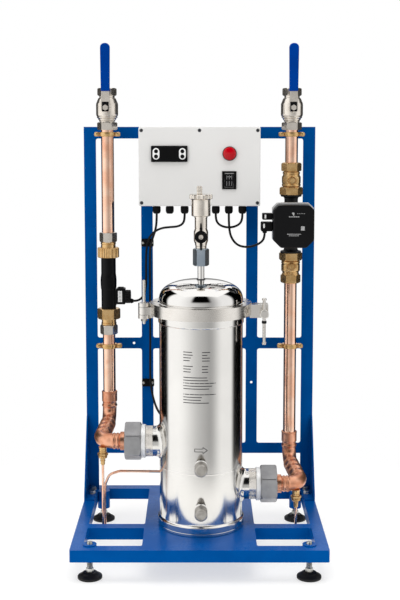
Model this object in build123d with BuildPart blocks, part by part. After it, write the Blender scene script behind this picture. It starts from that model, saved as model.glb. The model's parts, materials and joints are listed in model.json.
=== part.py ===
from build123d import *
import math
import os

os.makedirs("parts", exist_ok=True)

# ---------------------------------------------------------------------------
# Driving dimensions, in millimetres.  X runs to the right, Y to the rear and
# Z up.  The floor is z = 0, and the vessel stands on the line y = 0.
# ---------------------------------------------------------------------------
BASE_HALF_WIDTH = 260.0
BASE_FRONT = -159.0
BASE_REAR = 245.0
BASE_TOP = 69.0
RAIL = 25.0
SHEET = 3.0
MID_RAIL_FRONT = -35.0
CENTRE_HALF_WIDTH = 116.0

PANEL_Y = 214.0
PANEL_TOP = 907.0
POST_WIDTH = 27.0
BAR_INNER = 106.0
BAR_OUTER = 132.0
MID_RAIL_LOW = 402.0
LOW_RAIL_LOW = 156.0
LOW_RAIL_HIGH = 180.0

FOOT_X = 222.0
FOOT_FRONT_Y = -128.0
FOOT_REAR_Y = 209.0
STUD_R = 6.0
RUNNING = 0.05

VESSEL_X = 3.0
VESSEL_R = 87.5
VESSEL_WALL = 3.0
FERRULE_R = 98.0
RIM_Z = 531.5
GASKET = 2.0
LID_STRAIGHT = 548.0
LID_RISE = 44.0
DOME_FULLNESS = 0.8
NIPPLE_TOP = 621.0

PORT_R = 31.75
PORT_COLLAR = 116.5
PORT_NUT = 126.0
PORT_END = 160.5
LEFT_PORT_Z = 247.0
RIGHT_PORT_Z = 154.0

CLAMP_LOW = 520.0
CLAMP_HIGH = 545.0
CLAMP_R = 105.0
HINGE_X = -116.0
LUG_X = 134.0
SCREW_Z = 523.0
TBAR_Y = -22.0

PIPE_X = 203.5
PIPE_Y = 172.0
PIPE_R = 14.0
PIPE_BORE = 13.0
ELBOW_X = 213.0
ELBOW_R = 15.5
DRAIN_X = 205.0
VALVE_LOW = 900.0
VALVE_AXIS_Z = 949.0
VALVE_TOP = 992.0
CLIP_HEIGHTS = (417.0, 891.0)

BOX_HALF_WIDTH = 132.0
BOX_LOW = 736.0
BOX_HIGH = 908.0
LID_FRONT = 119.0
LID_BACK = 124.0
GLAND_Y = 165.0
GLAND_LOW = 716.0
CABLE_D = 5.0
SMALL_TUBE_D = 5.5
PUMP_Z = 695.0
UP = (0, 0, 1)
BACK = (0, 1, 0)
RIGHT = (1, 0, 0)


def keep(piece, name):
    """Label a finished piece and write its STEP file."""
    piece.part.label = name
    export_step(piece.part, f"parts/{name}.step")


def spun(outline, origin, direction, mode=Mode.ADD):
    """Turn an outline of (distance along the axis, radius) points about that axis."""
    side = BACK if abs(direction[1]) < 0.5 else RIGHT
    with BuildSketch(Plane(origin, x_dir=direction, z_dir=side)) as section:
        with BuildLine():
            Polyline(*outline, close=True)
        make_face()
    revolve(section.sketch, axis=Axis(origin, direction), mode=mode)


def rod(radius, origin, direction, length, mode=Mode.ADD):
    """A plain round bar from origin along direction."""
    with BuildSketch(Plane(origin, z_dir=direction)) as section:
        Circle(radius)
    extrude(section.sketch, amount=length, mode=mode)


def hexagon(across, origin, direction, length, mode=Mode.ADD):
    """A hexagon bar, across flats, from origin along direction."""
    with BuildSketch(Plane(origin, x_dir=sideways(direction), z_dir=direction)) as section:
        RegularPolygon(across / 2, 6, major_radius=False, rotation=30)
    extrude(section.sketch, amount=length, mode=mode)


def sideways(direction):
    """A direction square to an axis, used to set a section's turn about it."""
    return RIGHT if abs(direction[1]) > 0.5 else BACK


def block(low, high, mode=Mode.ADD):
    """A box between two opposite corners."""
    middle_x = (low[0] + high[0]) / 2
    middle_y = (low[1] + high[1]) / 2
    with BuildSketch(Plane.XY.offset(low[2])) as section:
        with Locations((middle_x, middle_y)):
            Rectangle(high[0] - low[0], high[1] - low[1])
    extrude(section.sketch, amount=high[2] - low[2], mode=mode)


def slot_plate(width, height, origin, depth, mode=Mode.ADD):
    """An upright plate with round ends, its back on origin, standing towards the front."""
    with BuildSketch(Plane(origin, x_dir=RIGHT, z_dir=(0, -1, 0))) as section:
        RectangleRounded(width, height, 0.48 * min(width, height))
    extrude(section.sketch, amount=depth, mode=mode)


# ---------------------------------------------------------------------------
# Base frame: one folded tray with four windows, ribs and bossed foot tabs.
# ---------------------------------------------------------------------------
WINDOW_X = (CENTRE_HALF_WIDTH + BASE_HALF_WIDTH - RAIL) / 2
WINDOW_WIDTH = BASE_HALF_WIDTH - RAIL - CENTRE_HALF_WIDTH
FRONT_WINDOW = (BASE_FRONT + RAIL, MID_RAIL_FRONT)
REAR_WINDOW = (MID_RAIL_FRONT + RAIL, BASE_REAR - RAIL)
FEET = {
    "foot_front_left": (-FOOT_X, FOOT_FRONT_Y),
    "foot_front_right": (FOOT_X, FOOT_FRONT_Y),
    "foot_rear_left": (-FOOT_X, FOOT_REAR_Y),
    "foot_rear_right": (FOOT_X, FOOT_REAR_Y),
}
BOLT_SPOTS = [(side * 246.0, y) for side in (-1, 1) for y in (178.0, 205.0)]


def base_plan():
    """Plan of the tray: its outline less the four windows."""
    depth = BASE_REAR - BASE_FRONT
    with Locations((0, (BASE_REAR + BASE_FRONT) / 2)):
        RectangleRounded(2 * BASE_HALF_WIDTH, depth, 3.5)
    for low, high in (FRONT_WINDOW, REAR_WINDOW):
        with Locations((-WINDOW_X, (low + high) / 2), (WINDOW_X, (low + high) / 2)):
            RectangleRounded(WINDOW_WIDTH, high - low, 4.0, mode=Mode.SUBTRACT)


with BuildPart() as base_frame:
    with BuildSketch(Plane.XY.offset(BASE_TOP - RAIL)):
        base_plan()
    extrude(amount=RAIL)
    with BuildSketch(Plane.XY.offset(BASE_TOP - RAIL)) as underside:
        base_plan()
        offset(amount=-SHEET)
    extrude(underside.sketch, amount=RAIL - SHEET, mode=Mode.SUBTRACT)
    for rib_x in (-38.0, 38.0):
        block(
            (rib_x - SHEET / 2, BASE_FRONT + 1, BASE_TOP - RAIL),
            (rib_x + SHEET / 2, BASE_REAR - 1, BASE_TOP - 1),
        )
    for x, y in FEET.values():
        boss_low, boss_high = (BASE_TOP - RAIL, BASE_TOP + 2) if y < 0 else (BASE_TOP - 40, BASE_TOP)
        rod(14.0, (x, y, boss_low), UP, boss_high - boss_low)
    for x, y in FEET.values():
        rod(STUD_R + RUNNING, (x, y, 20), UP, 60, mode=Mode.SUBTRACT)
    for x, y in BOLT_SPOTS:
        rod(4.2, (x, y, 60), UP, 15, mode=Mode.SUBTRACT)
keep(base_frame, "base_frame")

# ---------------------------------------------------------------------------
# Upright frame: one folded panel with laser-cut windows.
# ---------------------------------------------------------------------------
POST_INNER = BASE_HALF_WIDTH - POST_WIDTH
SIDE_WINDOW_X = (POST_INNER + BAR_OUTER) / 2
SIDE_WINDOW_WIDTH = POST_INNER - BAR_OUTER
TIERS = ((LOW_RAIL_HIGH, MID_RAIL_LOW), (MID_RAIL_LOW + 25.0, PANEL_TOP - 26.0))
RETURN = 25.0

with BuildPart() as upright_frame:
    with BuildSketch(Plane((0, PANEL_Y, 0), x_dir=RIGHT, z_dir=(0, -1, 0))) as front:
        with Locations((0, (PANEL_TOP + BASE_TOP) / 2)):
            Rectangle(2 * BASE_HALF_WIDTH, PANEL_TOP - BASE_TOP)
        for low, high in TIERS:
            middle = (low + high) / 2
            with Locations((-SIDE_WINDOW_X, middle), (SIDE_WINDOW_X, middle)):
                RectangleRounded(SIDE_WINDOW_WIDTH, high - low, 5.0, mode=Mode.SUBTRACT)
            with Locations((0, middle)):
                RectangleRounded(2 * BAR_INNER, high - low, 5.0, mode=Mode.SUBTRACT)
        with Locations((0, (BASE_TOP + LOW_RAIL_LOW) / 2 - 5)):
            Rectangle(2 * POST_INNER, LOW_RAIL_LOW - BASE_TOP + 10, mode=Mode.SUBTRACT)
        with Locations((119.0, 323.0), (-150.0, 414.5), (150.0, 414.5)):
            Circle(3.0, mode=Mode.SUBTRACT)
    extrude(front.sketch, amount=-SHEET)
    for side in (-1, 1):
        outer = side * BASE_HALF_WIDTH
        inner = side * (BASE_HALF_WIDTH - SHEET)
        low_x, high_x = min(outer, inner), max(outer, inner)
        block((low_x, PANEL_Y, BASE_TOP), (high_x, PANEL_Y + RETURN, PANEL_TOP))
        with BuildSketch(Plane((low_x, 0, 0), x_dir=BACK, z_dir=RIGHT)) as gusset:
            with BuildLine():
                Polyline(
                    (PANEL_Y + 1, 245.0),
                    (PANEL_Y + 1, BASE_TOP),
                    (135.0, BASE_TOP),
                    (135.0, 82.0),
                    (PANEL_Y - 3, 245.0),
                    close=True,
                )
            make_face()
        extrude(gusset.sketch, amount=SHEET)
        low_x, high_x = sorted((outer, side * 237.0))
        block((low_x, 135.0, BASE_TOP), (high_x, PANEL_Y + 1, BASE_TOP + SHEET))
    block(
        (-BASE_HALF_WIDTH, PANEL_Y, PANEL_TOP - SHEET),
        (BASE_HALF_WIDTH, PANEL_Y + RETURN, PANEL_TOP),
    )
    for x, y in BOLT_SPOTS:
        rod(4.2, (x, y, 60), UP, 15, mode=Mode.SUBTRACT)
keep(upright_frame, "upright_frame")

with BuildPart() as frame_fasteners:
    for x, y in BOLT_SPOTS:
        rod(8.0, (x, y, BASE_TOP + SHEET), UP, 1.6)
        hexagon(13.0, (x, y, BASE_TOP + SHEET + 1.6), UP, 5.3)
        rod(4.0, (x, y, 56), UP, BASE_TOP + SHEET - 56)
        hexagon(13.0, (x, y, BASE_TOP - SHEET - 6.5), UP, 6.5)
keep(frame_fasteners, "frame_fasteners")


def foot(x, y):
    """A levelling foot: a stud with spanner flats, moulded into a low round pad."""
    with BuildPart() as levelling_foot:
        spun([(0, 0), (0, 23), (3, 25), (5, 25), (13, 11), (13, 0)], (x, y, 0), UP)
        hexagon(14.0, (x, y, 13), UP, 8)
        rod(STUD_R, (x, y, 21), UP, 55)
    return levelling_foot


for foot_name, (foot_x, foot_y) in FEET.items():
    keep(foot(foot_x, foot_y), foot_name)

# ---------------------------------------------------------------------------
# Vessel: shell with ports and bosses, domed lid, gasket, clamp and cartridge.
# ---------------------------------------------------------------------------
CORE = (VESSEL_X, 0, 0)
INNER_R = VESSEL_R - VESSEL_WALL
BASE_RING_R = 91.0
PLUG_HEIGHTS = (220.0, 128.0)
PROBE_Z = 262.0
PROBE_DIRECTION = Vector(-0.55, 0.8352, 0)


def from_vessel(distance, z, direction=PROBE_DIRECTION):
    """A point at a distance from the vessel's axis, along a level direction."""
    return (VESSEL_X + direction.X * distance, direction.Y * distance, z)


with BuildPart() as vessel_shell:
    shell_outline = [
        (BASE_TOP, 0),
        (BASE_TOP, BASE_RING_R),
        (90, BASE_RING_R),
        (90, VESSEL_R),
        (503, VESSEL_R),
        (503, 89.5),
        (520, 89.5),
        (526, FERRULE_R),
        (RIM_Z, FERRULE_R),
        (RIM_Z, 0),
    ]
    spun(shell_outline, CORE, UP)
    for side, port_z in ((-1, LEFT_PORT_Z), (1, RIGHT_PORT_Z)):
        away = (side, 0, 0)
        rod(PORT_R, (VESSEL_X, 0, port_z), away, PORT_COLLAR)
        rod(35.0, (VESSEL_X + side * PORT_COLLAR, 0, port_z), away, PORT_NUT - PORT_COLLAR)
    for plug_z in PLUG_HEIGHTS:
        rod(10.0, (VESSEL_X, 0, plug_z), (0, -1, 0), 100)
    rod(8.0, from_vessel(60, PROBE_Z), PROBE_DIRECTION, 40)
    spun([(76, 0), (76, INNER_R), (RIM_Z, INNER_R), (RIM_Z, 0)], CORE, UP, Mode.SUBTRACT)
    spun([(505, 79), (505, INNER_R + 1), (508, INNER_R + 1), (508, 79)], CORE, UP)
    for side, port_z in ((-1, LEFT_PORT_Z), (1, RIGHT_PORT_Z)):
        away = (side, 0, 0)
        rod(27.0, (VESSEL_X + side * 60, 0, port_z), away, 80, mode=Mode.SUBTRACT)
    for plug_z in PLUG_HEIGHTS:
        rod(6.0, (VESSEL_X, -70, plug_z), (0, -1, 0), 40, mode=Mode.SUBTRACT)
keep(vessel_shell, "vessel_shell")

def dome_points(half_width, rise):
    """Points on a pressed dome, from its foot to its crown: a flat crown with full round shoulders."""
    steps = [math.radians(angle) for angle in range(0, 91, 9)]
    points = [(half_width * math.cos(t) ** DOME_FULLNESS, LID_STRAIGHT + rise * math.sin(t) ** DOME_FULLNESS)
              for t in steps[:-1]]
    return points + [(0, LID_STRAIGHT + rise)]


with BuildPart() as vessel_lid:
    lid_low = RIM_Z + GASKET
    with BuildSketch(Plane(CORE, x_dir=RIGHT, z_dir=(0, -1, 0))) as dome:
        with BuildLine():
            crown = Spline(dome_points(88, LID_RISE), tangents=((0, 1), (-1, 0)))
            under = Spline(dome_points(85, LID_RISE - 3), tangents=((0, 1), (-1, 0)))
            Polyline(
                under @ 0,
                (85, lid_low),
                (FERRULE_R, lid_low),
                (FERRULE_R, 539),
                (89.5, 545),
                (88, 545),
                crown @ 0,
            )
            Line(crown @ 1, under @ 1)
        make_face()
    revolve(dome.sketch, axis=Axis(CORE, UP))
    nipple_low = LID_STRAIGHT + LID_RISE - 2
    rod(7.0, (VESSEL_X, 0, nipple_low), UP, NIPPLE_TOP - nipple_low)
    rod(4.5, (VESSEL_X, 0, LID_STRAIGHT), UP, NIPPLE_TOP, mode=Mode.SUBTRACT)
keep(vessel_lid, "vessel_lid")

with BuildPart() as lid_gasket:
    spun([(RIM_Z, 86), (RIM_Z, 96), (RIM_Z + GASKET, 96), (RIM_Z + GASKET, 86)], CORE, UP)
keep(lid_gasket, "lid_gasket")

with BuildPart() as magnet_cartridge:
    spun([(508, 0), (508, 83.5), (513, 83.5), (513, 0)], CORE, UP)
    for angle in range(0, 360, 60):
        spoke_x = VESSEL_X + 52 * math.cos(math.radians(angle))
        spoke_y = 52 * math.sin(math.radians(angle))
        spun([(100, 0), (100, 9), (104, 12.5), (508.5, 12.5), (508.5, 0)], (spoke_x, spoke_y, 0), UP)
    spun([(100, 0), (100, 9), (104, 12.5), (508.5, 12.5), (508.5, 0)], CORE, UP)
    spun([(512.5, 0), (512.5, 12), (524, 12), (524, 0)], CORE, UP)
keep(magnet_cartridge, "magnet_cartridge")

CLAMP_SECTION = [
    (CLAMP_LOW, 90.5),
    (CLAMP_LOW, CLAMP_R),
    (CLAMP_HIGH, CLAMP_R),
    (CLAMP_HIGH, 90.5),
    (539.3, 98.6),
    (525.7, 98.6),
]
SPLIT = 1.5
KNUCKLE_R = 12.0
ROD_R = 3.25


def clamp_half(side, knuckles, knuckle_gaps):
    """Half of the clamp ring: side is -1 for the front half and 1 for the rear."""
    with BuildPart() as half:
        spun(CLAMP_SECTION, CORE, UP)
        far = side * 200
        near = -side * 200
        split = side * SPLIT
        block((-200, min(near, split), 400), (200, max(near, split), 650), mode=Mode.SUBTRACT)
        arm_low, arm_high = sorted((split, side * 11))
        for low, high in knuckles:
            block((HINGE_X, arm_low, low), (-98, arm_high, high))
            rod(KNUCKLE_R, (HINGE_X, 0, low), UP, high - low)
        if side > 0:
            block((-111, arm_low, 510), (-98, arm_high, 543))
        for low, high in knuckle_gaps:
            rod(KNUCKLE_R + 0.6, (HINGE_X, 0, low), UP, high - low, mode=Mode.SUBTRACT)
        lug_low, lug_high = sorted((side * 3, side * 13))
        block((104.5, lug_low, 513), (143, lug_high, 541))
        spun([(400, 0), (400, 90.5), (CLAMP_LOW, 90.5), (525.7, 98.6), (539.3, 98.6),
              (CLAMP_HIGH, 90.5), (600, 90.5), (600, 0)], CORE, UP, Mode.SUBTRACT)
        bore = ROD_R + (RUNNING if side < 0 else 0)
        rod(bore, (HINGE_X, 0, 480), UP, 150, mode=Mode.SUBTRACT)
        hole = 4.05 if side < 0 else 5.25
        rod(hole, (LUG_X, side * 20, SCREW_Z), (0, -side, 0), 19, mode=Mode.SUBTRACT)
    return half


keep(clamp_half(1, ((510, 518), (535, 543)), ((518, 535),)), "clamp_rear_half")
keep(clamp_half(-1, ((518.5, 534.5),), ()), "clamp_front_half")

with BuildPart() as clamp_hinge_pin:
    rod(ROD_R, (HINGE_X, 0, 498), UP, 93)
keep(clamp_hinge_pin, "clamp_hinge_pin")

with BuildPart() as clamp_screw:
    rod(9.5, (LUG_X, -31, SCREW_Z), BACK, 17.5)
    rod(4.0, (LUG_X, -14, SCREW_Z), BACK, 26)
    rod(3.3, (LUG_X, TBAR_Y, 500), UP, 50, mode=Mode.SUBTRACT)
keep(clamp_screw, "clamp_screw")

with BuildPart() as clamp_t_bar:
    bar_outline = [(458, 0), (458, 4.6), (463, 4.6), (463, ROD_R), (503, ROD_R), (503, 5),
                   (508.5, 5), (508.5, ROD_R), (551, ROD_R), (551, 4.6), (556, 4.6), (556, 0)]
    spun(bar_outline, (LUG_X, TBAR_Y, 0), UP)
keep(clamp_t_bar, "clamp_t_bar")

with BuildPart() as vessel_plugs:
    for plug_z in PLUG_HEIGHTS:
        rod(5.8, (VESSEL_X, -88, plug_z), (0, -1, 0), 13)
        spun([(100, 0), (100, 13.5), (122, 13.5), (126, 9), (126, 0)], (VESSEL_X, 0, plug_z), (0, -1, 0))
keep(vessel_plugs, "vessel_plugs")

# ---------------------------------------------------------------------------
# Pipework in copper, its union nuts, clips and drain cocks.
# ---------------------------------------------------------------------------
PORTS = ((-1, LEFT_PORT_Z), (1, RIGHT_PORT_Z))

with BuildPart() as port_union_nuts:
    for side, port_z in PORTS:
        away = (side, 0, 0)
        start = (VESSEL_X + side * PORT_NUT, 0, port_z)
        hexagon(72.0, start, away, PORT_END - PORT_NUT)
        rod(30.5, start, away, 28, mode=Mode.SUBTRACT)
        rod(19.5, start, away, 50, mode=Mode.SUBTRACT)
keep(port_union_nuts, "port_union_nuts")


def elbow_route(side, port_z):
    """Corners of the pipe from a vessel port back to the foot of its riser."""
    return [
        (VESSEL_X + side * (PORT_NUT + 7), 0, port_z),
        (VESSEL_X + side * ELBOW_X, 0, port_z),
        (side * PIPE_X, PIPE_Y, port_z),
        (side * PIPE_X, PIPE_Y, port_z + 67),
    ]


with BuildPart() as copper_elbows:
    for side, port_z in PORTS:
        away = (side, 0, 0)
        with BuildLine() as run:
            FilletPolyline(*elbow_route(side, port_z), radius=30)
        with BuildSketch(Plane(run.line @ 0, z_dir=run.line % 0)) as tube_section:
            Circle(ELBOW_R)
        sweep(tube_section.sketch, path=run.line)
        collar = (VESSEL_X + side * PORT_NUT, 0, port_z)
        rod(30.0, collar, away, 8)
        rod(19.4, collar, away, 44)
        rod(17.5, (side * PIPE_X, PIPE_Y, port_z + 43), UP, 24)
        rod(8.0, (side * DRAIN_X, 0, port_z - 19), UP, 15)
    for side, port_z in PORTS:
        away = (side, 0, 0)
        with BuildLine() as run:
            FilletPolyline(*elbow_route(side, port_z), radius=30)
        with BuildSketch(Plane(run.line @ 0, z_dir=run.line % 0)) as bore_section:
            Circle(PIPE_BORE)
        sweep(bore_section.sketch, path=run.line, mode=Mode.SUBTRACT)
        rod(PIPE_BORE, (VESSEL_X + side * (PORT_NUT - 1), 0, port_z), away, 20, mode=Mode.SUBTRACT)
keep(copper_elbows, "copper_elbows")

PIPE_RUNS = (
    (-PIPE_X, LEFT_PORT_Z + 67, 444.0),
    (-PIPE_X, 674.0, VALVE_LOW),
    (PIPE_X, RIGHT_PORT_Z + 67, 560.0),
    (PIPE_X, 829.0, VALVE_LOW),
)
with BuildPart() as copper_pipes:
    for x, low, high in PIPE_RUNS:
        rod(PIPE_R, (x, PIPE_Y, low), UP, high - low)
    for x, low, high in PIPE_RUNS:
        rod(PIPE_BORE, (x, PIPE_Y, low), UP, high - low, mode=Mode.SUBTRACT)
keep(copper_pipes, "copper_pipes")

with BuildPart() as pipe_clips:
    for side in (-1, 1):
        for height in CLIP_HEIGHTS:
            centre = (side * PIPE_X, PIPE_Y, height - 5)
            rod(17.5, centre, UP, 10)
            block(
                (side * PIPE_X - 29, PIPE_Y - 5, height - 5),
                (side * PIPE_X + 29, PIPE_Y + 5, height + 5),
            )
            rod(PIPE_R + 0.2, centre, UP, 10, mode=Mode.SUBTRACT)
            rod(4.0, (side * PIPE_X, PIPE_Y + 16, height), BACK, PANEL_Y - PIPE_Y - 16)
            rod(10.0, (side * PIPE_X, PANEL_Y - 3, height), BACK, 3)
            for ear in (-22, 22):
                rod(3.5, (side * PIPE_X + ear, PIPE_Y - 8, height), BACK, 4)
keep(pipe_clips, "pipe_clips")

with BuildPart() as drain_cocks:
    for side, port_z in PORTS:
        cock_outline = [(0, 0), (0, 8), (7, 8), (7, 11.5), (19, 11.5), (19, 5), (33, 5), (33, 0)]
        spun(cock_outline, (side * DRAIN_X, 0, port_z - 19), (0, 0, -1))
keep(drain_cocks, "drain_cocks")

DRAIN_END = 50.0
SAMPLE_ROUTE = [
    (VESSEL_X - VESSEL_R, 8, 178),
    (-170, 9, 178.5),
    (-192, 10, 171),
    (-201, 11, 150),
    (-203, 11, 112),
    (-202, 11, 60),
]


def bends_for(route):
    """The largest even bend at each corner: 0.45 of the shorter run over tan(half turn)."""
    points = [Vector(point) for point in route]
    runs = [after - before for before, after in zip(points, points[1:])]
    radii = []
    for first, second in zip(runs, runs[1:]):
        half_turn = math.radians(first.get_angle(second)) / 2
        radii.append(0.45 * min(first.length, second.length) / math.tan(half_turn))
    return radii


def tube(route, diameter):
    """A round tube along straight runs joined by tangent arcs."""
    radii = bends_for(route)
    with BuildPart() as piece:
        with BuildLine() as path:
            FilletPolyline(*route, radius=radii)
        with BuildSketch(Plane(path.line @ 0, z_dir=path.line % 0)):
            Circle(diameter / 2)
        sweep(path=path.line)
    length = path.wire().length
    wanted = math.pi * diameter**2 / 4 * length
    print(
        "tube length", round(length, 1),
        "volume over section times length", round(piece.part.volume / wanted, 5),
        "radii", [round(radius, 1) for radius in radii],
    )
    return piece


sample_tube = tube(SAMPLE_ROUTE, SMALL_TUBE_D)
with BuildPart() as drain_tubes:
    for side, port_z in PORTS:
        top = port_z - 52
        rod(SMALL_TUBE_D / 2, (side * DRAIN_X, 0, DRAIN_END), UP, top - DRAIN_END)
    add(sample_tube.part)
keep(drain_tubes, "drain_tubes")

# ---------------------------------------------------------------------------
# Lever ball valves at the top of both risers.
# ---------------------------------------------------------------------------
BALL_R = 17.0
STEM_R = 5.0
LEVER_Y = 128.0


def valve_body(x):
    """Body of a ball valve with a hexagon at each end and a stem boss in front."""
    axis = (x, PIPE_Y, 0)
    with BuildPart() as body:
        spun([(915, 0), (915, 14.5), (922, 17), (930, 22), (938, 24), (962, 24), (972, 21),
              (978, 18), (978, 0)], axis, UP)
        hexagon(39.0, (x, PIPE_Y, VALVE_LOW), UP, 18)
        hexagon(37.0, (x, PIPE_Y, 975), UP, VALVE_TOP - 975)
        rod(9.0, (x, PIPE_Y, VALVE_AXIS_Z), (0, -1, 0), 36)
        rod(12.5, (x, PIPE_Y, VALVE_LOW), UP, 100, mode=Mode.SUBTRACT)
        rod(15.2, (x, PIPE_Y, VALVE_TOP - 17), UP, 20, mode=Mode.SUBTRACT)
        with Locations((x, PIPE_Y, VALVE_AXIS_Z)):
            Sphere(BALL_R + 0.35, mode=Mode.SUBTRACT)
        rod(STEM_R + RUNNING, (x, PIPE_Y, VALVE_AXIS_Z), (0, -1, 0), 60, mode=Mode.SUBTRACT)
    return body


def valve_ball(x):
    """Bored ball, its stem and the nut that holds the lever."""
    with BuildPart() as ball:
        with Locations((x, PIPE_Y, VALVE_AXIS_Z)):
            Sphere(BALL_R)
        rod(STEM_R, (x, PIPE_Y, VALVE_AXIS_Z), (0, -1, 0), PIPE_Y - LEVER_Y + 9)
        hexagon(11.0, (x, LEVER_Y - 3, VALVE_AXIS_Z), (0, -1, 0), 5)
        rod(12.5, (x, PIPE_Y, 900), UP, 100, mode=Mode.SUBTRACT)
    return ball


def valve_lever(x):
    """Flat strap lever round the stem, with a dipped sleeve as a second solid."""
    with BuildPart() as lever:
        slot_plate(17, 144, (x, LEVER_Y, 1011), 3)
        slot_plate(22, 22, (x, LEVER_Y, VALVE_AXIS_Z), 3)
        rod(STEM_R, (x, LEVER_Y + 1, VALVE_AXIS_Z), (0, -1, 0), 6, mode=Mode.SUBTRACT)
        block((x - 15, LEVER_Y - 4, 984), (x + 15, LEVER_Y + 1, 1100), mode=Mode.SUBTRACT)
        slot_plate(21, 110, (x, LEVER_Y + 2.5, 1032), 8)
        block((x - 15, LEVER_Y - 9, 970), (x + 15, LEVER_Y + 5, 984), mode=Mode.SUBTRACT)
        slot_plate(17, 144, (x, LEVER_Y, 1011), 3)
        block((x - 15, LEVER_Y - 4, 930), (x + 15, LEVER_Y + 1, 938.5), mode=Mode.SUBTRACT)
        slot_plate(22, 22, (x, LEVER_Y, VALVE_AXIS_Z), 3)
        rod(STEM_R, (x, LEVER_Y + 1, VALVE_AXIS_Z), (0, -1, 0), 6, mode=Mode.SUBTRACT)
    return lever


for side, word in ((-1, "left"), (1, "right")):
    keep(valve_body(side * PIPE_X), f"{word}_valve_body")
    keep(valve_ball(side * PIPE_X), f"{word}_valve_ball")
    keep(valve_lever(side * PIPE_X), f"{word}_lever")

# ---------------------------------------------------------------------------
# Flow sensor on the left riser.
# ---------------------------------------------------------------------------
SENSOR_LOW = 503.0
SENSOR_HIGH = 617.0
SENSOR_R = 16.3
FLOW_AXIS = (-PIPE_X, PIPE_Y, 0)

with BuildPart() as flow_sensor_body:
    spun([(SENSOR_LOW, 0), (SENSOR_LOW, SENSOR_R), (546, SENSOR_R), (550, 17.4), (576, 17.4),
          (580, SENSOR_R), (SENSOR_HIGH, SENSOR_R), (SENSOR_HIGH, 0)], FLOW_AXIS, UP)
    block((-PIPE_X, PIPE_Y - 9, 509), (-186, PIPE_Y + 9, 545))
    rod(11.0, (-PIPE_X, PIPE_Y, SENSOR_LOW), UP, 120, mode=Mode.SUBTRACT)
    for spider_z in (545.0, 576.0):
        block((-PIPE_X - 12, PIPE_Y - 1.5, spider_z), (-PIPE_X + 12, PIPE_Y + 1.5, spider_z + 4))
        rod(3.2, (-PIPE_X, PIPE_Y, spider_z), UP, 4)
        rod(1.55, (-PIPE_X, PIPE_Y, spider_z), UP, 4, mode=Mode.SUBTRACT)
keep(flow_sensor_body, "flow_sensor_body")

with BuildPart() as flow_turbine:
    rod(1.5, (-PIPE_X, PIPE_Y, 545.5), UP, 34)
    rod(3.0, (-PIPE_X, PIPE_Y, 550), UP, 25)
    for angle in range(0, 180, 60):
        with BuildSketch(Plane.XY.offset(554)) as blades:
            with Locations((-PIPE_X, PIPE_Y)):
                Rectangle(20.5, 1.4, rotation=angle)
        extrude(blades.sketch, amount=16)
keep(flow_turbine, "flow_turbine")

with BuildPart() as flow_unions:
    hexagon(34.0, (-PIPE_X, PIPE_Y, 652), UP, 22)
    rod(16.25, (-PIPE_X, PIPE_Y, 639), UP, 14)
    rod(24.0, (-PIPE_X, PIPE_Y, SENSOR_HIGH), UP, 23)
    hexagon(45.0, (-PIPE_X, PIPE_Y, 479), UP, SENSOR_LOW - 479)
    rod(16.25, (-PIPE_X, PIPE_Y, 465), UP, 15)
    hexagon(34.5, (-PIPE_X, PIPE_Y, 444), UP, 22)
    rod(PIPE_BORE, (-PIPE_X, PIPE_Y, 440), UP, 63, mode=Mode.SUBTRACT)
    rod(PIPE_BORE, (-PIPE_X, PIPE_Y, SENSOR_HIGH), UP, 60, mode=Mode.SUBTRACT)
keep(flow_unions, "flow_unions")

with BuildPart() as sensor_connector:
    block((-186, PIPE_Y - 10, 512), (-166, PIPE_Y + 10, 549))
    rod(15.0, (-166, PIPE_Y, 529), RIGHT, 12)
    block((-156, PIPE_Y - 5, 514), (-150, PIPE_Y + 5, 524))
keep(sensor_connector, "sensor_connector")

# ---------------------------------------------------------------------------
# Circulator pump and its isolation valves on the right riser.
# ---------------------------------------------------------------------------
PUMP_AXIS = (PIPE_X, 0, PUMP_Z)
PORT_SPAN = 130.0
PUMP_TOP = PUMP_Z - 2 + PORT_SPAN / 2
PUMP_BOTTOM = PUMP_TOP - PORT_SPAN
HEAD_FRONT = 90.0
HEAD_BACK = 148.0

with BuildPart() as pump_volute:
    spun([(HEAD_BACK, 0), (HEAD_BACK, 40), (180, 40), (188, 34), (188, 0)], PUMP_AXIS, BACK)
    rod(15.0, (PIPE_X, PIPE_Y, PUMP_BOTTOM), UP, PORT_SPAN)
    rod(23.0, (PIPE_X, PIPE_Y, PUMP_TOP - 4), UP, 4)
    rod(23.0, (PIPE_X, PIPE_Y, PUMP_BOTTOM), UP, 4)
    spun([(HEAD_BACK, 0), (HEAD_BACK, 30), (182, 30), (182, 0)], PUMP_AXIS, BACK, Mode.SUBTRACT)
    rod(11.0, (PIPE_X, PIPE_Y, PUMP_BOTTOM), UP, 36, mode=Mode.SUBTRACT)
    rod(11.0, (PIPE_X, PIPE_Y, PUMP_TOP), (0, 0, -1), 36, mode=Mode.SUBTRACT)
keep(pump_volute, "pump_volute")

with BuildPart() as pump_motor:
    with BuildSketch(Plane(PUMP_AXIS, x_dir=RIGHT, z_dir=(0, -1, 0)).offset(-HEAD_BACK)) as face:
        Rectangle(90, 97)
        chamfer(face.vertices().group_by(Axis.Y)[0], 17)
        chamfer(face.vertices().group_by(Axis.Y)[-1], 11)
    extrude(face.sketch, amount=HEAD_BACK - HEAD_FRONT)
    spun([(108, 0), (108, 19), (142, 19), (142, 0)], PUMP_AXIS, BACK, Mode.SUBTRACT)
    spun([(102, 0), (102, 4.05), (150, 4.05), (150, 0)], PUMP_AXIS, BACK, Mode.SUBTRACT)
keep(pump_motor, "pump_motor")

with BuildPart() as pump_rotor:
    rotor_outline = [(103, 0), (103, 4), (110, 4), (110, 18), (140, 18), (140, 4), (154, 4),
                     (154, 27), (166, 27), (166, 8), (172, 8), (172, 0)]
    spun(rotor_outline, PUMP_AXIS, BACK)
keep(pump_rotor, "pump_rotor")

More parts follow.
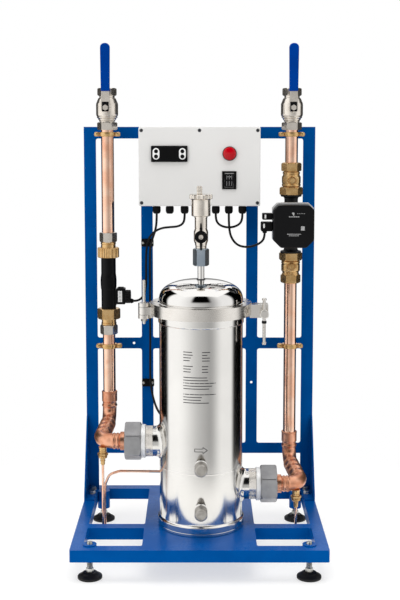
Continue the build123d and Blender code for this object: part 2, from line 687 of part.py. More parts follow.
PLUG_FACE_X = PIPE_X - 45
with BuildPart() as pump_plugs:
    block((PLUG_FACE_X - 22, 108, 707), (PLUG_FACE_X, 128, 721))
    block((PLUG_FACE_X - 25, 106, 682), (PLUG_FACE_X, 130, 702))
keep(pump_plugs, "pump_plugs")

UPPER_VALVE_Z = 790.0
LOWER_VALVE_Z = 599.0
PUMP_VALVES = ((PUMP_TOP, 829.0, UPPER_VALVE_Z, 1), (PUMP_BOTTOM, 560.0, LOWER_VALVE_Z, -1))
SPINDLE_R = 4.6

with BuildPart() as pump_valves:
    for start, end, spindle_z, way in PUMP_VALVES:
        direction = (0, 0, way)
        foot_point = (PIPE_X, PIPE_Y, start)
        length = abs(end - start)
        hexagon(45.0, foot_point, direction, 17)
        spun([(15, 0), (15, 17), (19, 20.8), (40, 20.8), (46, 18.4), (54, 17), (54, 0)],
             foot_point, direction)
        hexagon(39.0, (PIPE_X, PIPE_Y, start + way * (length - 19)), direction, 19)
        rod(8.5, (PIPE_X, PIPE_Y, spindle_z), (0, -1, 0), 26)
        rod(10.0, foot_point, direction, length, mode=Mode.SUBTRACT)
        with Locations((PIPE_X, PIPE_Y, spindle_z)):
            Sphere(14.35, mode=Mode.SUBTRACT)
        rod(SPINDLE_R + RUNNING, (PIPE_X, PIPE_Y, spindle_z), (0, -1, 0), 40, mode=Mode.SUBTRACT)
keep(pump_valves, "pump_valves")


def valve_spindle(z):
    """Slotted spindle with the bored ball that it turns."""
    with BuildPart() as spindle:
        with Locations((PIPE_X, PIPE_Y, z)):
            Sphere(14.0)
        rod(SPINDLE_R, (PIPE_X, PIPE_Y, z), (0, -1, 0), 27)
        rod(10.0, (PIPE_X, PIPE_Y, z - 20), UP, 40, mode=Mode.SUBTRACT)
        block((PIPE_X - 0.8, PIPE_Y - 28, z - 6), (PIPE_X + 0.8, PIPE_Y - 25.5, z + 6), Mode.SUBTRACT)
    return spindle


keep(valve_spindle(UPPER_VALVE_Z), "upper_valve_spindle")
keep(valve_spindle(LOWER_VALVE_Z), "lower_valve_spindle")

# ---------------------------------------------------------------------------
# Control box and what is on it.
# ---------------------------------------------------------------------------
BOX_WALL = 3.0
SCREW_SPOTS = [(x, z) for x in (-126.0, 0.0, 126.0) for z in (743.0, 900.0)]
CONTROLLER = (-65.5, 849.5)
CONTROLLER_SIZE = (79.0, 35.0)
KEY_XS = {"left_key": -94.0, "right_key": -37.0}
KEY_Z = 849.5
LAMP = (65.0, 850.0)
SWITCH = (64.5, 792.5)
GLAND_XS = (-95.0, -66.0, -33.0, 36.0, 65.0, 95.0)

with BuildPart() as control_box:
    block((-BOX_HALF_WIDTH, LID_BACK, BOX_LOW), (BOX_HALF_WIDTH, PANEL_Y, BOX_HIGH))
    block(
        (-BOX_HALF_WIDTH + BOX_WALL, LID_BACK, BOX_LOW + BOX_WALL),
        (BOX_HALF_WIDTH - BOX_WALL, PANEL_Y - BOX_WALL, BOX_HIGH - BOX_WALL),
        mode=Mode.SUBTRACT,
    )
    for x, z in SCREW_SPOTS:
        rod(4.5, (x, LID_BACK, z), BACK, PANEL_Y - LID_BACK - 1)
        rod(2.0, (x, LID_BACK, z), BACK, 18, mode=Mode.SUBTRACT)
    for x in GLAND_XS:
        rod(6.0, (x, GLAND_Y, BOX_LOW), UP, BOX_WALL, mode=Mode.SUBTRACT)
keep(control_box, "control_box")

with BuildPart() as control_box_lid:
    block((-BOX_HALF_WIDTH, LID_FRONT, BOX_LOW), (BOX_HALF_WIDTH, LID_BACK, BOX_HIGH))
    for x, z in SCREW_SPOTS:
        rod(2.0, (x, LID_FRONT, z), BACK, 6, mode=Mode.SUBTRACT)
        rod(4.0, (x, LID_FRONT, z), BACK, 2, mode=Mode.SUBTRACT)
    window_low = (CONTROLLER[0] - 35.5, 100, CONTROLLER[1] - 14.5)
    window_high = (CONTROLLER[0] + 35.5, 130, CONTROLLER[1] + 14.5)
    block(window_low, window_high, Mode.SUBTRACT)
    rod(11.0, (LAMP[0], LID_FRONT, LAMP[1]), BACK, 6, mode=Mode.SUBTRACT)
    block((SWITCH[0] - 13.5, 100, SWITCH[1] - 17.5), (SWITCH[0] + 13.5, 130, SWITCH[1] + 17.5), Mode.SUBTRACT)
keep(control_box_lid, "control_box_lid")

with BuildPart() as lid_screws:
    for x, z in SCREW_SPOTS:
        rod(3.9, (x, LID_FRONT - 0.5, z), BACK, 2.5)
        rod(1.9, (x, LID_FRONT + 1, z), BACK, 20)
keep(lid_screws, "lid_screws")

with BuildPart() as controller:
    slot_low = CONTROLLER[1] - CONTROLLER_SIZE[1] / 2
    block(
        (CONTROLLER[0] - CONTROLLER_SIZE[0] / 2, LID_FRONT - 5, slot_low),
        (CONTROLLER[0] + CONTROLLER_SIZE[0] / 2, LID_FRONT, slot_low + CONTROLLER_SIZE[1]),
    )
    case_low = (CONTROLLER[0] - 35, LID_FRONT - 1, CONTROLLER[1] - 14)
    block(case_low, (CONTROLLER[0] + 35, 172, CONTROLLER[1] + 14))
    for x in KEY_XS.values():
        slot_plate(16.0, 26.0, (x, LID_FRONT - 1, KEY_Z), 5, mode=Mode.SUBTRACT)
    block((-83.5, LID_FRONT - 6, 837), (-47.5, LID_FRONT - 4, 862), mode=Mode.SUBTRACT)
keep(controller, "controller")


def rocking_key(x):
    """Oval key that rocks about a level pivot across its middle."""
    with BuildPart() as key:
        slot_plate(15.0, 25.0, (x, LID_FRONT - 2.3, KEY_Z), 4.2)
    return key


for key_name, key_x in KEY_XS.items():
    keep(rocking_key(key_x), key_name)

with BuildPart() as alarm_lamp:
    lamp_outline = [(-9, 0), (-9, 6), (-7, 10.5), (-4, 12.5), (-4, 15.5), (0, 15.5), (0, 11), (25, 11),
                    (25, 0)]
    spun(lamp_outline, (LAMP[0], LID_FRONT, LAMP[1]), BACK)
keep(alarm_lamp, "alarm_lamp")

ROCKER_PIVOT_Y = 121.0
with BuildPart() as rocker_frame:
    frame_low = (SWITCH[0] - 15.5, LID_FRONT - 2.5, SWITCH[1] - 19.5)
    block(frame_low, (SWITCH[0] + 15.5, LID_FRONT, SWITCH[1] + 19.5))
    block((SWITCH[0] - 13.4, LID_FRONT - 1, SWITCH[1] - 17.4), (SWITCH[0] + 13.4, 146, SWITCH[1] + 17.4))
    block((SWITCH[0] - 10.5, 100, SWITCH[1] - 15.6), (SWITCH[0] + 10.5, 138, SWITCH[1] + 15.6), Mode.SUBTRACT)
    rod(1.5, (SWITCH[0] - 12, ROCKER_PIVOT_Y, SWITCH[1]), RIGHT, 24)
keep(rocker_frame, "rocker_frame")

with BuildPart() as rocker:
    rocker_left = (SWITCH[0] - 10, ROCKER_PIVOT_Y, SWITCH[1])
    with BuildSketch(Plane(rocker_left, x_dir=BACK, z_dir=RIGHT)) as rocker_side:
        with BuildLine():
            Polyline((-6.5, 14), (-4.4, 0), (-6.5, -14), (-1, -14), (6, -6), (6, 6), (-1, 14), close=True)
        make_face()
        Circle(1.55, mode=Mode.SUBTRACT)
    extrude(rocker_side.sketch.rotate(Axis((0, ROCKER_PIVOT_Y, SWITCH[1]), RIGHT), 8), amount=20)
keep(rocker, "rocker")

with BuildPart() as cable_glands:
    for x in GLAND_XS:
        spun([(0, 0), (0, 6), (4, 9), (20, 9), (20, 5.9), (30, 5.9), (30, 0)], (x, GLAND_Y, GLAND_LOW), UP)
keep(cable_glands, "cable_glands")

# ---------------------------------------------------------------------------
# Air vent above the lid.
# ---------------------------------------------------------------------------
HANDLE_Z = 683.0
FLOAT_LOW = 724.0
FLOAT_HIGH = 760.0

with BuildPart() as vent_coupling:
    hexagon(29.5, (VESSEL_X, 0, NIPPLE_TOP), UP, 36)
    rod(5.0, (VESSEL_X, 0, NIPPLE_TOP), UP, 36, mode=Mode.SUBTRACT)
keep(vent_coupling, "vent_coupling")

with BuildPart() as vent_valve:
    spun([(657, 0), (657, 12), (668, 13), (674, 15), (692, 15), (698, 13), (FLOAT_LOW, 13), (FLOAT_LOW, 0)],
         CORE, UP)
    rod(6.0, (VESSEL_X, 0, HANDLE_Z), (0, -1, 0), 19)
    rod(5.0, (VESSEL_X, 0, 657), UP, 70, mode=Mode.SUBTRACT)
    rod(3.05, (VESSEL_X, 0, HANDLE_Z), (0, -1, 0), 30, mode=Mode.SUBTRACT)
keep(vent_valve, "vent_valve")

with BuildPart() as vent_handle:
    rod(3.0, (VESSEL_X, -6, HANDLE_Z), (0, -1, 0), 14)
    rod(13.0, (VESSEL_X, -19.5, HANDLE_Z), (0, -1, 0), 5.5)
    slot_plate(6.0, 56.0, (VESSEL_X, -20, HANDLE_Z), 3)
keep(vent_handle, "vent_handle")

with BuildPart() as vent_body:
    spun([(FLOAT_LOW, 0), (FLOAT_LOW, 19.75), (FLOAT_HIGH, 19.75), (FLOAT_HIGH, 24.5), (770, 24.5), (770, 0)],
         CORE, UP)
    rod(5.5, (VESSEL_X - 3, 0, 769), UP, 18)
    spun([(728, 0), (728, 17), (764, 17), (764, 0)], CORE, UP, Mode.SUBTRACT)
    rod(5.0, (VESSEL_X, 0, FLOAT_LOW), UP, 6, mode=Mode.SUBTRACT)
keep(vent_body, "vent_body")

with BuildPart() as vent_float:
    spun([(728, 0), (728, 13), (730, 15), (752, 15), (754, 13), (754, 0)], CORE, UP)
keep(vent_float, "vent_float")

# ---------------------------------------------------------------------------
# Cables, with hand-chosen routes.
# ---------------------------------------------------------------------------
PUMP_CABLE = [
    (65, GLAND_Y, GLAND_LOW),
    (65, GLAND_Y, 690),
    (69, 159, 664),
    (84, 151, 646),
    (106, 143, 643),
    (125, 133, 649),
    (138, 122, 659),
    (142, 118, 671),
    (142, 118, 682),
]
LOOP_CABLE = [
    (36, GLAND_Y, GLAND_LOW),
    (36, GLAND_Y, 703),
    (42, 168, 692),
    (53, 172, 686),
    (65.5, 174.5, 684),
    (78, 172, 686),
    (89, 168, 692),
    (95, GLAND_Y, 703),
    (95, GLAND_Y, GLAND_LOW),
]
SENSOR_CABLE = [
    (-33, GLAND_Y, GLAND_LOW),
    (-33, GLAND_Y, 702),
    (-38, 166.5, 692),
    (-49, 170, 686.5),
    (-65, 175, 685),
    (-84, 181.5, 682.5),
    (-101, 189, 674),
    (-114, 195, 659),
    (-119.5, 198, 638),
    (-121, 199.5, 604),
    (-120.5, 198, 573),
    (-121, 191, 549),
    (-124, 182, 534),
    (-130, 175.5, 524),
    (-139.5, PIPE_Y, 519),
    (-150, PIPE_Y, 519),
]
PROBE_CABLE = [
    (-95, GLAND_Y, GLAND_LOW),
    (-95, GLAND_Y, 697),
    (-98.5, 168, 677),
    (-105, 178, 659),
    (-111, 192, 640),
    (-112.5, 199.5, 605),
    (-112, 200, 550),
    (-112.5, 199.5, 490),
    (-112, 200, 430),
    (-112.5, 199.5, 372),
    (-112.5, 196, 332),
    (-108, 185, 305),
    (-101, 165, 285),
    (-92, 146, 271),
    from_vessel(150, PROBE_Z),
    from_vessel(118, PROBE_Z),
]
ROUTES = {
    "pump_cable": PUMP_CABLE,
    "loop_cable": LOOP_CABLE,
    "sensor_cable": SENSOR_CABLE,
    "probe_cable": PROBE_CABLE,
}
for cable_name, cable_route in ROUTES.items():
    print(cable_name)
    keep(tube(cable_route, CABLE_D), cable_name)

with BuildPart() as cable_clips:
    for clip_z in (646.0, 323.0):
        block((-132, 204, clip_z - 9), (-104, PANEL_Y, clip_z + 9))
    rod(9.0, from_vessel(100, PROBE_Z), PROBE_DIRECTION, 18)
keep(cable_clips, "cable_clips")
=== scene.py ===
# %% [markdown]
# # A magnetic filter skid, dressed over its CAD model
#
# The CAD model is a fixed frame. Its nodes say where every part stands, so each
# new surface takes its place from the box of the node it stands for, and rides
# on that node's body when a lever, a clamp or a foot moves.

# %% Load the frame
import json

import bmesh
import bpy
import numpy as np
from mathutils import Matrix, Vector
from mathutils.bvhtree import BVHTree


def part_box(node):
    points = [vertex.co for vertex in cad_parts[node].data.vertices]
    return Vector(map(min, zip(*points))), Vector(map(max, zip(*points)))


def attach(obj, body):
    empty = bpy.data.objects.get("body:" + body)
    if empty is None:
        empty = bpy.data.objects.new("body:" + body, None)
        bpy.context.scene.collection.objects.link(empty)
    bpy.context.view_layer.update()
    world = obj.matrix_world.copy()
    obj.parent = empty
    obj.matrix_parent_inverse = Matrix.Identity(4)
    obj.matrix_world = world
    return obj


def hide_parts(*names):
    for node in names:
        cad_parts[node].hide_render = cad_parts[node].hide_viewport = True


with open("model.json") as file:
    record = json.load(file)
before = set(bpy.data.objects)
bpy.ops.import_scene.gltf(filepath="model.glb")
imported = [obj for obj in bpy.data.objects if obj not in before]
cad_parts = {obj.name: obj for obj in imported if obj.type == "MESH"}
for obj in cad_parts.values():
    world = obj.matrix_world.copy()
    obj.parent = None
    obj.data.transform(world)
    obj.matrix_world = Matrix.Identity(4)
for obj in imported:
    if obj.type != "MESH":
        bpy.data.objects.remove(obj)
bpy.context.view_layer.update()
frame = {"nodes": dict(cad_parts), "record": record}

nodes = frame["nodes"]
scene = bpy.context.scene
MM = 0.001
body_of = {node: body for body, members in frame["record"]["behaviour"]["bodies"].items()
           for node in members}
slot_of = {row["node"]: row["material_slot"] for row in frame["record"]["subparts"]}

# %% [markdown]
# ## The camera
#
# The skid is shown square on, from about two metres away and a little below its
# top, looking down by six degrees. A long lens keeps the posts nearly upright.
# The small shift moves the view down without tilting the camera any further,
# as the sliding front of a view camera does.

# %% Make the camera
LOOKING_DOWN = 6.16
camera = bpy.data.objects.new("camera", bpy.data.cameras.new("camera"))
scene.collection.objects.link(camera)
camera.data.sensor_width = 36.0
camera.data.lens = 67.37
camera.data.shift_x = 0.0008
camera.data.shift_y = -0.0965
camera.location = (0.0, -2.318, 0.9203)
camera.rotation_euler = (np.radians(90.0 - LOOKING_DOWN), 0.0, 0.0)
scene.camera = camera
print("camera at", tuple(camera.location), "lens", round(camera.data.lens, 2))

# %% [markdown]
# ## One place for finishes and riding
#
# Every piece needs the same four things: a finish, the body it rides on, the
# material slot it takes its finish from, and the CAD nodes it stands for. One
# short function does all four. The materials are made empty here and get their
# nodes later, so that the shapes can be made first.

# %% Put a piece in its place
EXTRA_FINISHES = ("etched_steel", "dark_glass", "blue_steel", "silver_casting", "print_white", "dark_screw",
                  "blue_sleeve", "mirror_steel", "ground_steel", "pale_seal", "lamp_rim", "heated_copper")
FINISH_NAMES = [*sorted(set(slot_of.values())), *EXTRA_FINISHES]
materials = {name: bpy.data.materials.new(name) for name in FINISH_NAMES}


def place(piece, *stands_for, body=None, slot=None, finish=None):
    """Give a piece its finish, its body and its slot, and hide the CAD nodes it stands for."""
    slot = slot or slot_of[stands_for[0]]
    piece.data.materials.clear()
    piece.data.materials.append(materials[finish or slot])
    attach(piece, body or (body_of[stands_for[0]] if stands_for else "skid"))
    if stands_for:
        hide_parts(*stands_for)
    return piece


print("finishes to mix", len(materials))

# %% [markdown]
# ## The four cables
#
# Each cable leaves a gland under the control box and goes back into something:
# the pump's plug, another gland, the flow sensor's connector or the probe
# behind the vessel. A soft PVC sheath never turns a sharp corner, so each is a
# NURBS curve, whose line passes near its points instead of through them. The
# order and the end points are set once the points are in, so that they hold.

# %% Lay the cables
CABLE_DIAMETER = 5.0 * MM
GLAND_Y = 165.0
PUMP_ROUTE = [(65, GLAND_Y, 716), (65, GLAND_Y, 690), (69, 159, 664), (84, 151, 646), (106, 143, 643),
              (125, 133, 649), (138, 122, 659), (142, 118, 671), (142, 118, 682)]
LOOP_ROUTE = [(36, GLAND_Y, 716), (36, GLAND_Y, 703), (42, 168, 692), (53, 172, 686), (65.5, 174.5, 684),
              (78, 172, 686), (89, 168, 692), (95, GLAND_Y, 703), (95, GLAND_Y, 716)]
SENSOR_ROUTE = [(-33, GLAND_Y, 716), (-33, GLAND_Y, 702), (-38, 166.5, 692), (-49, 170, 686.5),
                (-65, 175, 685), (-84, 181.5, 682.5), (-101, 189, 674), (-114, 195, 659),
                (-119.5, 198, 638), (-121, 199.5, 604), (-120.5, 198, 573), (-121, 191, 549),
                (-124, 182, 534), (-130, 175.5, 524), (-139.5, 172, 519), (-150, 172, 519)]
PROBE_SIDEWAYS, PROBE_BACK = -0.55, 0.8352
VESSEL_X = 3.0
PROBE_Z = 262.0
PROBE_ROUTE = [(-95, GLAND_Y, 716), (-95, GLAND_Y, 697), (-98.5, 168, 677), (-105, 178, 659),
               (-111, 192, 640), (-112.5, 199.5, 605), (-112, 200, 550), (-112.5, 199.5, 490),
               (-112, 200, 430), (-112.5, 199.5, 372), (-112.5, 196, 332), (-108, 185, 305),
               (-101, 165, 285), (-92, 146, 271),
               (VESSEL_X + PROBE_SIDEWAYS * 150, PROBE_BACK * 150, PROBE_Z),
               (VESSEL_X + PROBE_SIDEWAYS * 118, PROBE_BACK * 118, PROBE_Z)]


def cable(node, route):
    """A round cable: a NURBS line on the route's points, with a round section carried along it."""
    curve = bpy.data.curves.new(node, "CURVE")
    curve.dimensions = "3D"
    line = curve.splines.new("NURBS")
    line.points.add(len(route) - 1)
    points = np.ones((len(route), 4))
    points[:, :3] = np.array(route) * MM
    line.points.foreach_set("co", points.ravel())
    line.order_u = 3
    line.use_endpoint_u = True
    line.resolution_u = 10
    curve.bevel_depth = CABLE_DIAMETER / 2
    curve.bevel_resolution = 5
    curve.use_fill_caps = True
    piece = bpy.data.objects.new(node + "_sheath", curve)
    scene.collection.objects.link(piece)
    place(piece, node)
    return piece


cable("pump_cable", PUMP_ROUTE)
cable("loop_cable", LOOP_ROUTE)
cable("sensor_cable", SENSOR_ROUTE)
cable("probe_cable", PROBE_ROUTE)
print("cables", len(bpy.data.curves))

# %% [markdown]
# ## Surfaces from arrays
#
# Nearly all of this machine is turned, swept or cut from sheet, so three kinds
# of surface make it. Each is a grid: rows go along the part and columns go
# round it. The whole grid is one array, and its faces join each point to its
# neighbours. Faces are kept as arrays of corner numbers too, one array for each
# run of faces with the same number of corners.

# %% Turn a grid into a surface
def skin(points, closed_along=False, start="flat", end="flat"):
    """Quads between neighbours of a grid whose columns close on themselves.
    At each end the grid is shut with a narrow flat ring and a fan to its middle, unless it also closes
    along. The narrow ring keeps the fan's shading flat."""
    rows, columns = points.shape[:2]
    index = np.arange(rows * columns).reshape(rows, columns)
    beside = np.roll(index, -1, axis=1)
    if closed_along:
        above, above_beside = np.roll(index, -1, axis=0), np.roll(beside, -1, axis=0)
        below, below_beside = index, beside
    else:
        above, above_beside, below, below_beside = index[1:], beside[1:], index[:-1], beside[:-1]
    faces = [np.stack([below, below_beside, above_beside, above], axis=-1).reshape(-1, 4)]
    corners = points.reshape(-1, 3)
    if closed_along:
        return corners, faces
    for shut, ring in ((start, index[0][::-1]), (end, index[-1])):
        if shut == "open":
            continue
        middle, inner = corners[ring].mean(axis=0), np.arange(columns) + len(corners)
        corners = np.vstack([corners, 0.96 * corners[ring] + 0.04 * middle, middle])
        quads = np.stack([ring, np.roll(ring, -1), np.roll(inner, -1), inner], axis=-1)
        fan = np.stack([inner, np.roll(inner, -1), np.full(columns, len(corners) - 1)], axis=-1)
        faces += [quads, fan]
    return corners, faces


# %% Join surfaces into one object
def build(name, parts, sharp=32.0):
    """One mesh object from several skins, smooth except across edges sharper than an angle."""
    corners, faces, start = [], [], 0
    for points, blocks in parts:
        corners.append(points)
        for block in blocks:
            faces += (block + start).tolist()
        start += len(points)
    mesh = bpy.data.meshes.new(name)
    mesh.from_pydata(np.vstack(corners).tolist(), [], faces)
    mesh.validate()
    mesh.shade_smooth()
    mesh.set_sharp_from_angle(angle=np.radians(sharp))
    piece = bpy.data.objects.new(name, mesh)
    scene.collection.objects.link(piece)
    return piece


# %% Turn a profile about an axis
UP, DOWN, FRONT, REAR, RIGHT, LEFT = (np.array(v, float) for v in
                                      ((0, 0, 1), (0, 0, -1), (0, -1, 0), (0, 1, 0), (1, 0, 0), (-1, 0, 0)))


def across_axis(axis):
    """Two directions square to an axis, the first of them level, turning right-handed about it."""
    if abs(axis[2]) > 0.5:
        return REAR, np.cross(axis, REAR)
    first = np.cross(UP, axis)
    return first / np.linalg.norm(first), UP


def held(profile, near=0.35):
    """Add a point close to both ends of every long run of a profile. Without them a smooth surface would
    bend its shading over the whole run towards the small round at its end."""
    profile = np.array(profile, float)
    kept = [profile[0]]
    for before, after in zip(profile[:-1], profile[1:]):
        length = np.linalg.norm(after - before)
        if length > 4 * near:
            kept += [before + (after - before) * near / length, after - (after - before) * near / length]
        kept.append(after)
    return np.array(kept)


def turned(profile, origin, axis, sides=64, across=None, flutes=None, ring=False, turn=0.0):
    """A profile of (distance along the axis, radius) turned about the axis, all in millimetres.
    across trims each radius to a hexagon's flats, half the width over the cosine of the angle from the
    flat; flutes = (count, depth) lowers the radius by a wave round the axis; ring joins the profile's
    ends."""
    distance, radius = (held(profile) * MM).T
    angle = np.linspace(0.0, 2 * np.pi, sides, endpoint=False)
    reach = np.repeat(radius[:, None], sides, axis=1)
    if across:
        from_flat = (angle - np.radians(turn) + np.pi / 6) % (np.pi / 3) - np.pi / 6
        reach = np.minimum(reach, across * MM / 2 / np.cos(from_flat))
    if flutes:
        count, depth = flutes
        reach = reach * (1.0 - depth * (0.5 + 0.5 * np.cos(count * angle)) ** 3)
    first, second = across_axis(axis)
    round_axis = np.cos(angle)[:, None] * first + np.sin(angle)[:, None] * second
    points = np.array(origin)[None, None] + distance[:, None, None] * axis + reach[..., None] * round_axis
    return skin(points, closed_along=ring)


# %% Push a plan with round corners out into a slab
def rounded(corners, fillet, steps=6):
    """A plan with round corners. Each corner's arc is centred where its two sides meet once they are moved
    in by the fillet, and an inset shortens the arcs' radius, so the sides move in evenly. Convex plans,
    anticlockwise; fillet is one number or one for each corner."""
    corners = np.array(corners, float) * MM
    fillet = np.broadcast_to(np.array(fillet, float) * MM, len(corners))
    side = np.roll(corners, -1, axis=0) - corners
    normal_after = np.stack([side[:, 1], -side[:, 0]], axis=1) / np.linalg.norm(side, axis=1)[:, None]
    normal_before = np.roll(normal_after, 1, axis=0)
    spread = 1.0 + (normal_before * normal_after).sum(axis=1)
    centre = corners - fillet[:, None] * (normal_before + normal_after) / spread[:, None]
    start = np.arctan2(normal_before[:, 1], normal_before[:, 0])
    sweep = (np.arctan2(normal_after[:, 1], normal_after[:, 0]) - start) % (2 * np.pi)
    angle = start[:, None] + sweep[:, None] * np.linspace(0.0, 1.0, steps)

    def plan(inset):
        """The outline, moved in by an inset in metres."""
        radius = (fillet - inset)[:, None, None]
        arcs = centre[:, None] + radius * np.stack([np.cos(angle), np.sin(angle)], axis=-1)
        return arcs.reshape(-1, 2)

    return plan


def rectangle(width, height, x=0.0, y=0.0):
    """The corners of a rectangle about a middle, anticlockwise."""
    return [(x - width / 2, y - height / 2), (x + width / 2, y - height / 2),
            (x + width / 2, y + height / 2), (x - width / 2, y + height / 2)]


def slab(plan, depth, edge, origin, right, up):
    """A plan pushed out along right x up. Its rings step through a quarter circle of the edge's radius at
    the back and at the front, moving the plan in as they go, which rounds both rims."""
    quarter = np.linspace(0.0, np.pi / 2, 5)
    rise, inset = edge * MM * (1 - np.cos(quarter)), edge * MM * (1 - np.sin(quarter))
    heights = np.concatenate([rise, depth * MM - rise[::-1]])
    insets = np.concatenate([inset, inset[::-1]])
    flat = np.stack([plan(value) for value in insets])
    out = np.cross(right, up)
    points = np.array(origin)[None, None] + flat[..., :1] * right + flat[..., 1:] * up
    return skin(points + heights[:, None, None] * out)


def plate(corners, fillet, depth, edge, origin, right=RIGHT, up=UP):
    """A slab with a rounded plan given by its corners in millimetres."""
    return slab(rounded(corners, fillet), depth, edge, origin, right, up)


# %% Carry a round section along a path
OBLIQUE = np.array([0.52, -0.61, 0.6])


def swept(path, radius, sides=24, closed=False):
    """A round section carried along a path. Each ring's two directions are the cross product of the path's
    direction with a slanting vector that the path never follows, and a second cross product."""
    if closed:
        along = np.roll(path, -1, axis=0) - np.roll(path, 1, axis=0)
    else:
        along = np.gradient(path, axis=0)
    along = along / np.linalg.norm(along, axis=1)[:, None]
    first = np.cross(along, OBLIQUE)
    first = first / np.linalg.norm(first, axis=1)[:, None]
    second = np.cross(along, first)
    angle = np.linspace(0.0, 2 * np.pi, sides, endpoint=False)
    round_path = (np.cos(angle)[None, :, None] * first[:, None]
                  + np.sin(angle)[None, :, None] * second[:, None])
    radius = np.broadcast_to(radius, len(path))
    return skin(path[:, None] + radius[:, None, None] * round_path, closed_along=closed)


# %% Soften a CAD shape
def faces_of(mesh):
    """A mesh's corners as one array, and each of its faces as a row of corner numbers."""
    corners = np.empty(3 * len(mesh.vertices))
    mesh.vertices.foreach_get("co", corners)
    numbers = np.empty(len(mesh.loops), np.int32)
    mesh.loops.foreach_get("vertex_index", numbers)
    starts = np.empty(len(mesh.polygons), np.int32)
    mesh.polygons.foreach_get("loop_start", starts)
    return corners.reshape(-1, 3), [face[None] for face in np.split(numbers, starts[1:])]


def softened(name, node, width, sharp=32.0):
    """A copy of a CAD node's mesh with its loose triangles joined and its flat faces made whole, then a
    small bevel along every edge, because a real edge is never perfectly sharp and catches the light."""
    worked = bmesh.new()
    worked.from_mesh(nodes[node].data)
    bmesh.ops.remove_doubles(worked, verts=worked.verts, dist=0.002 * MM)
    bmesh.ops.dissolve_limit(worked, angle_limit=np.radians(0.6), verts=worked.verts, edges=worked.edges)
    joined = bpy.data.meshes.new("joined")
    worked.to_mesh(joined)
    worked.free()
    piece = build(name, [faces_of(joined)], sharp)
    bpy.data.meshes.remove(joined)
    bevel = piece.modifiers.new("bevel", "BEVEL")
    bevel.width = width * MM
    bevel.segments = 2
    bevel.limit_method = "ANGLE"
    bevel.angle_limit = np.radians(32.0)
    bevel.use_clamp_overlap = True
    bevel.harden_normals = True
    return piece


# %% Where the CAD nodes are
def low_of(node):
    """The lowest corner of a node's box at rest."""
    return np.array(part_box(node)[0])


def high_of(node):
    """The highest corner of a node's box at rest."""
    return np.array(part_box(node)[1])


def middle_of(node):
    """The middle of a node's box at rest."""
    return (low_of(node) + high_of(node)) / 2


# %% [markdown]
# ## The folded frame
#
# The base tray and the upright panel are laser-cut sheet, folded and powder
# coated. The CAD shapes are right, so the new pieces are copies of them with
# softened edges: a coat of powder always draws back from a sharp corner and
# rounds it. The bevel is what makes the bright lines along the rails.

# %% Tray, panel and bolts
place(softened("base_tray", "base_frame", 1.3), "base_frame")
place(softened("upright_panel", "upright_frame", 1.3), "upright_frame")

bolts_low, bolts_high = low_of("frame_fasteners"), high_of("frame_fasteners")
WASHER_R, BOLT_HEAD, BOLT_ABOVE = 8.0, 13.0, 6.9
bolt_parts = []
for bolt_x in (bolts_low[0] + WASHER_R * MM, bolts_high[0] - WASHER_R * MM):
    for bolt_y in (bolts_low[1] + WASHER_R * MM, bolts_high[1] - WASHER_R * MM):
        seat = np.array((bolt_x, bolt_y, bolts_high[2] - BOLT_ABOVE * MM))
        washer = [(0.02, 4.2), (0.02, 7.7), (0.4, 8.0), (1.3, 8.0), (1.6, 7.7), (1.6, 4.2)]
        head = [(1.6, 6.2), (1.7, 7.6), (5.9, 7.6), (6.5, 6.9), (6.9, 6.0), (6.7, 5.4)]
        nut = [(-6.0, 7.6), (-6.1, 7.6), (-12.0, 7.6), (-12.4, 6.4)]
        bolt_parts.append(turned(washer, seat, UP, 32))
        bolt_parts.append(turned(head, seat, UP, 48, across=BOLT_HEAD))
        bolt_parts.append(turned([(-d, r) for d, r in nut], seat, DOWN, 48, across=BOLT_HEAD))
place(build("frame_bolts", bolt_parts), "frame_fasteners")
print("bolts", len(bolt_parts) // 3)

# %% [markdown]
# ## Levelling feet
#
# Each foot is a moulded rubber pad round a plated stud. The stud's thread is a
# zigzag profile turned about its axis: rings instead of a helix, which looks
# the same at this size and stays closed.

# %% Feet
def thread(low, high, radius, pitch=1.75, depth=0.55):
    """Profile points of a thread: the radius goes up and down by its depth once in every pitch."""
    count = int((high - low) / pitch)
    distance = np.linspace(low, high, 2 * count + 1)
    wave = np.where(np.arange(2 * count + 1) % 2 == 0, radius - depth, radius)
    return list(zip(distance, wave))


FOOT_NODES = [name for name in nodes if name.startswith("foot_")]
for foot_node in FOOT_NODES:
    low, high = low_of(foot_node), high_of(foot_node)
    ground = np.array((*((low + high) / 2)[:2], low[2]))
    pad = [(0.0, 24.2), (0.5, 25.0), (4.4, 25.0), (5.2, 24.4), (7.6, 20.0), (9.5, 17.2), (11.6, 15.2),
           (12.6, 13.6), (13.1, 12.0)]
    place(build(foot_node + "_pad", [turned(pad, ground, UP, 56)]), foot_node)
    stud = [(20.5, 5.2), *thread(21.0, 74.8, 6.0), (75.6, 5.0)]
    flats = [(13.0, 7.6), (13.4, 8.1), (20.2, 8.1), (20.9, 7.4)]
    stud_piece = build(foot_node + "_stud",
                       [turned(stud, ground, UP, 28), turned(flats, ground, UP, 48, across=14.0)])
    place(stud_piece, body=body_of[foot_node], slot="zinc_steel")
print("feet", len(FOOT_NODES))

# %% [markdown]
# ## The vessel
#
# The filter vessel is rolled stainless tube, polished until the studio shows in
# it as upright bands. It is a turned profile: a base ring, a shallow weld bead,
# and the ferrule that the clamp grips. The ports are pulled out of the wall,
# so their roots are not sharp. Each root is a quarter round whose start follows
# the wall's curve, which a plain turned collar could not do.

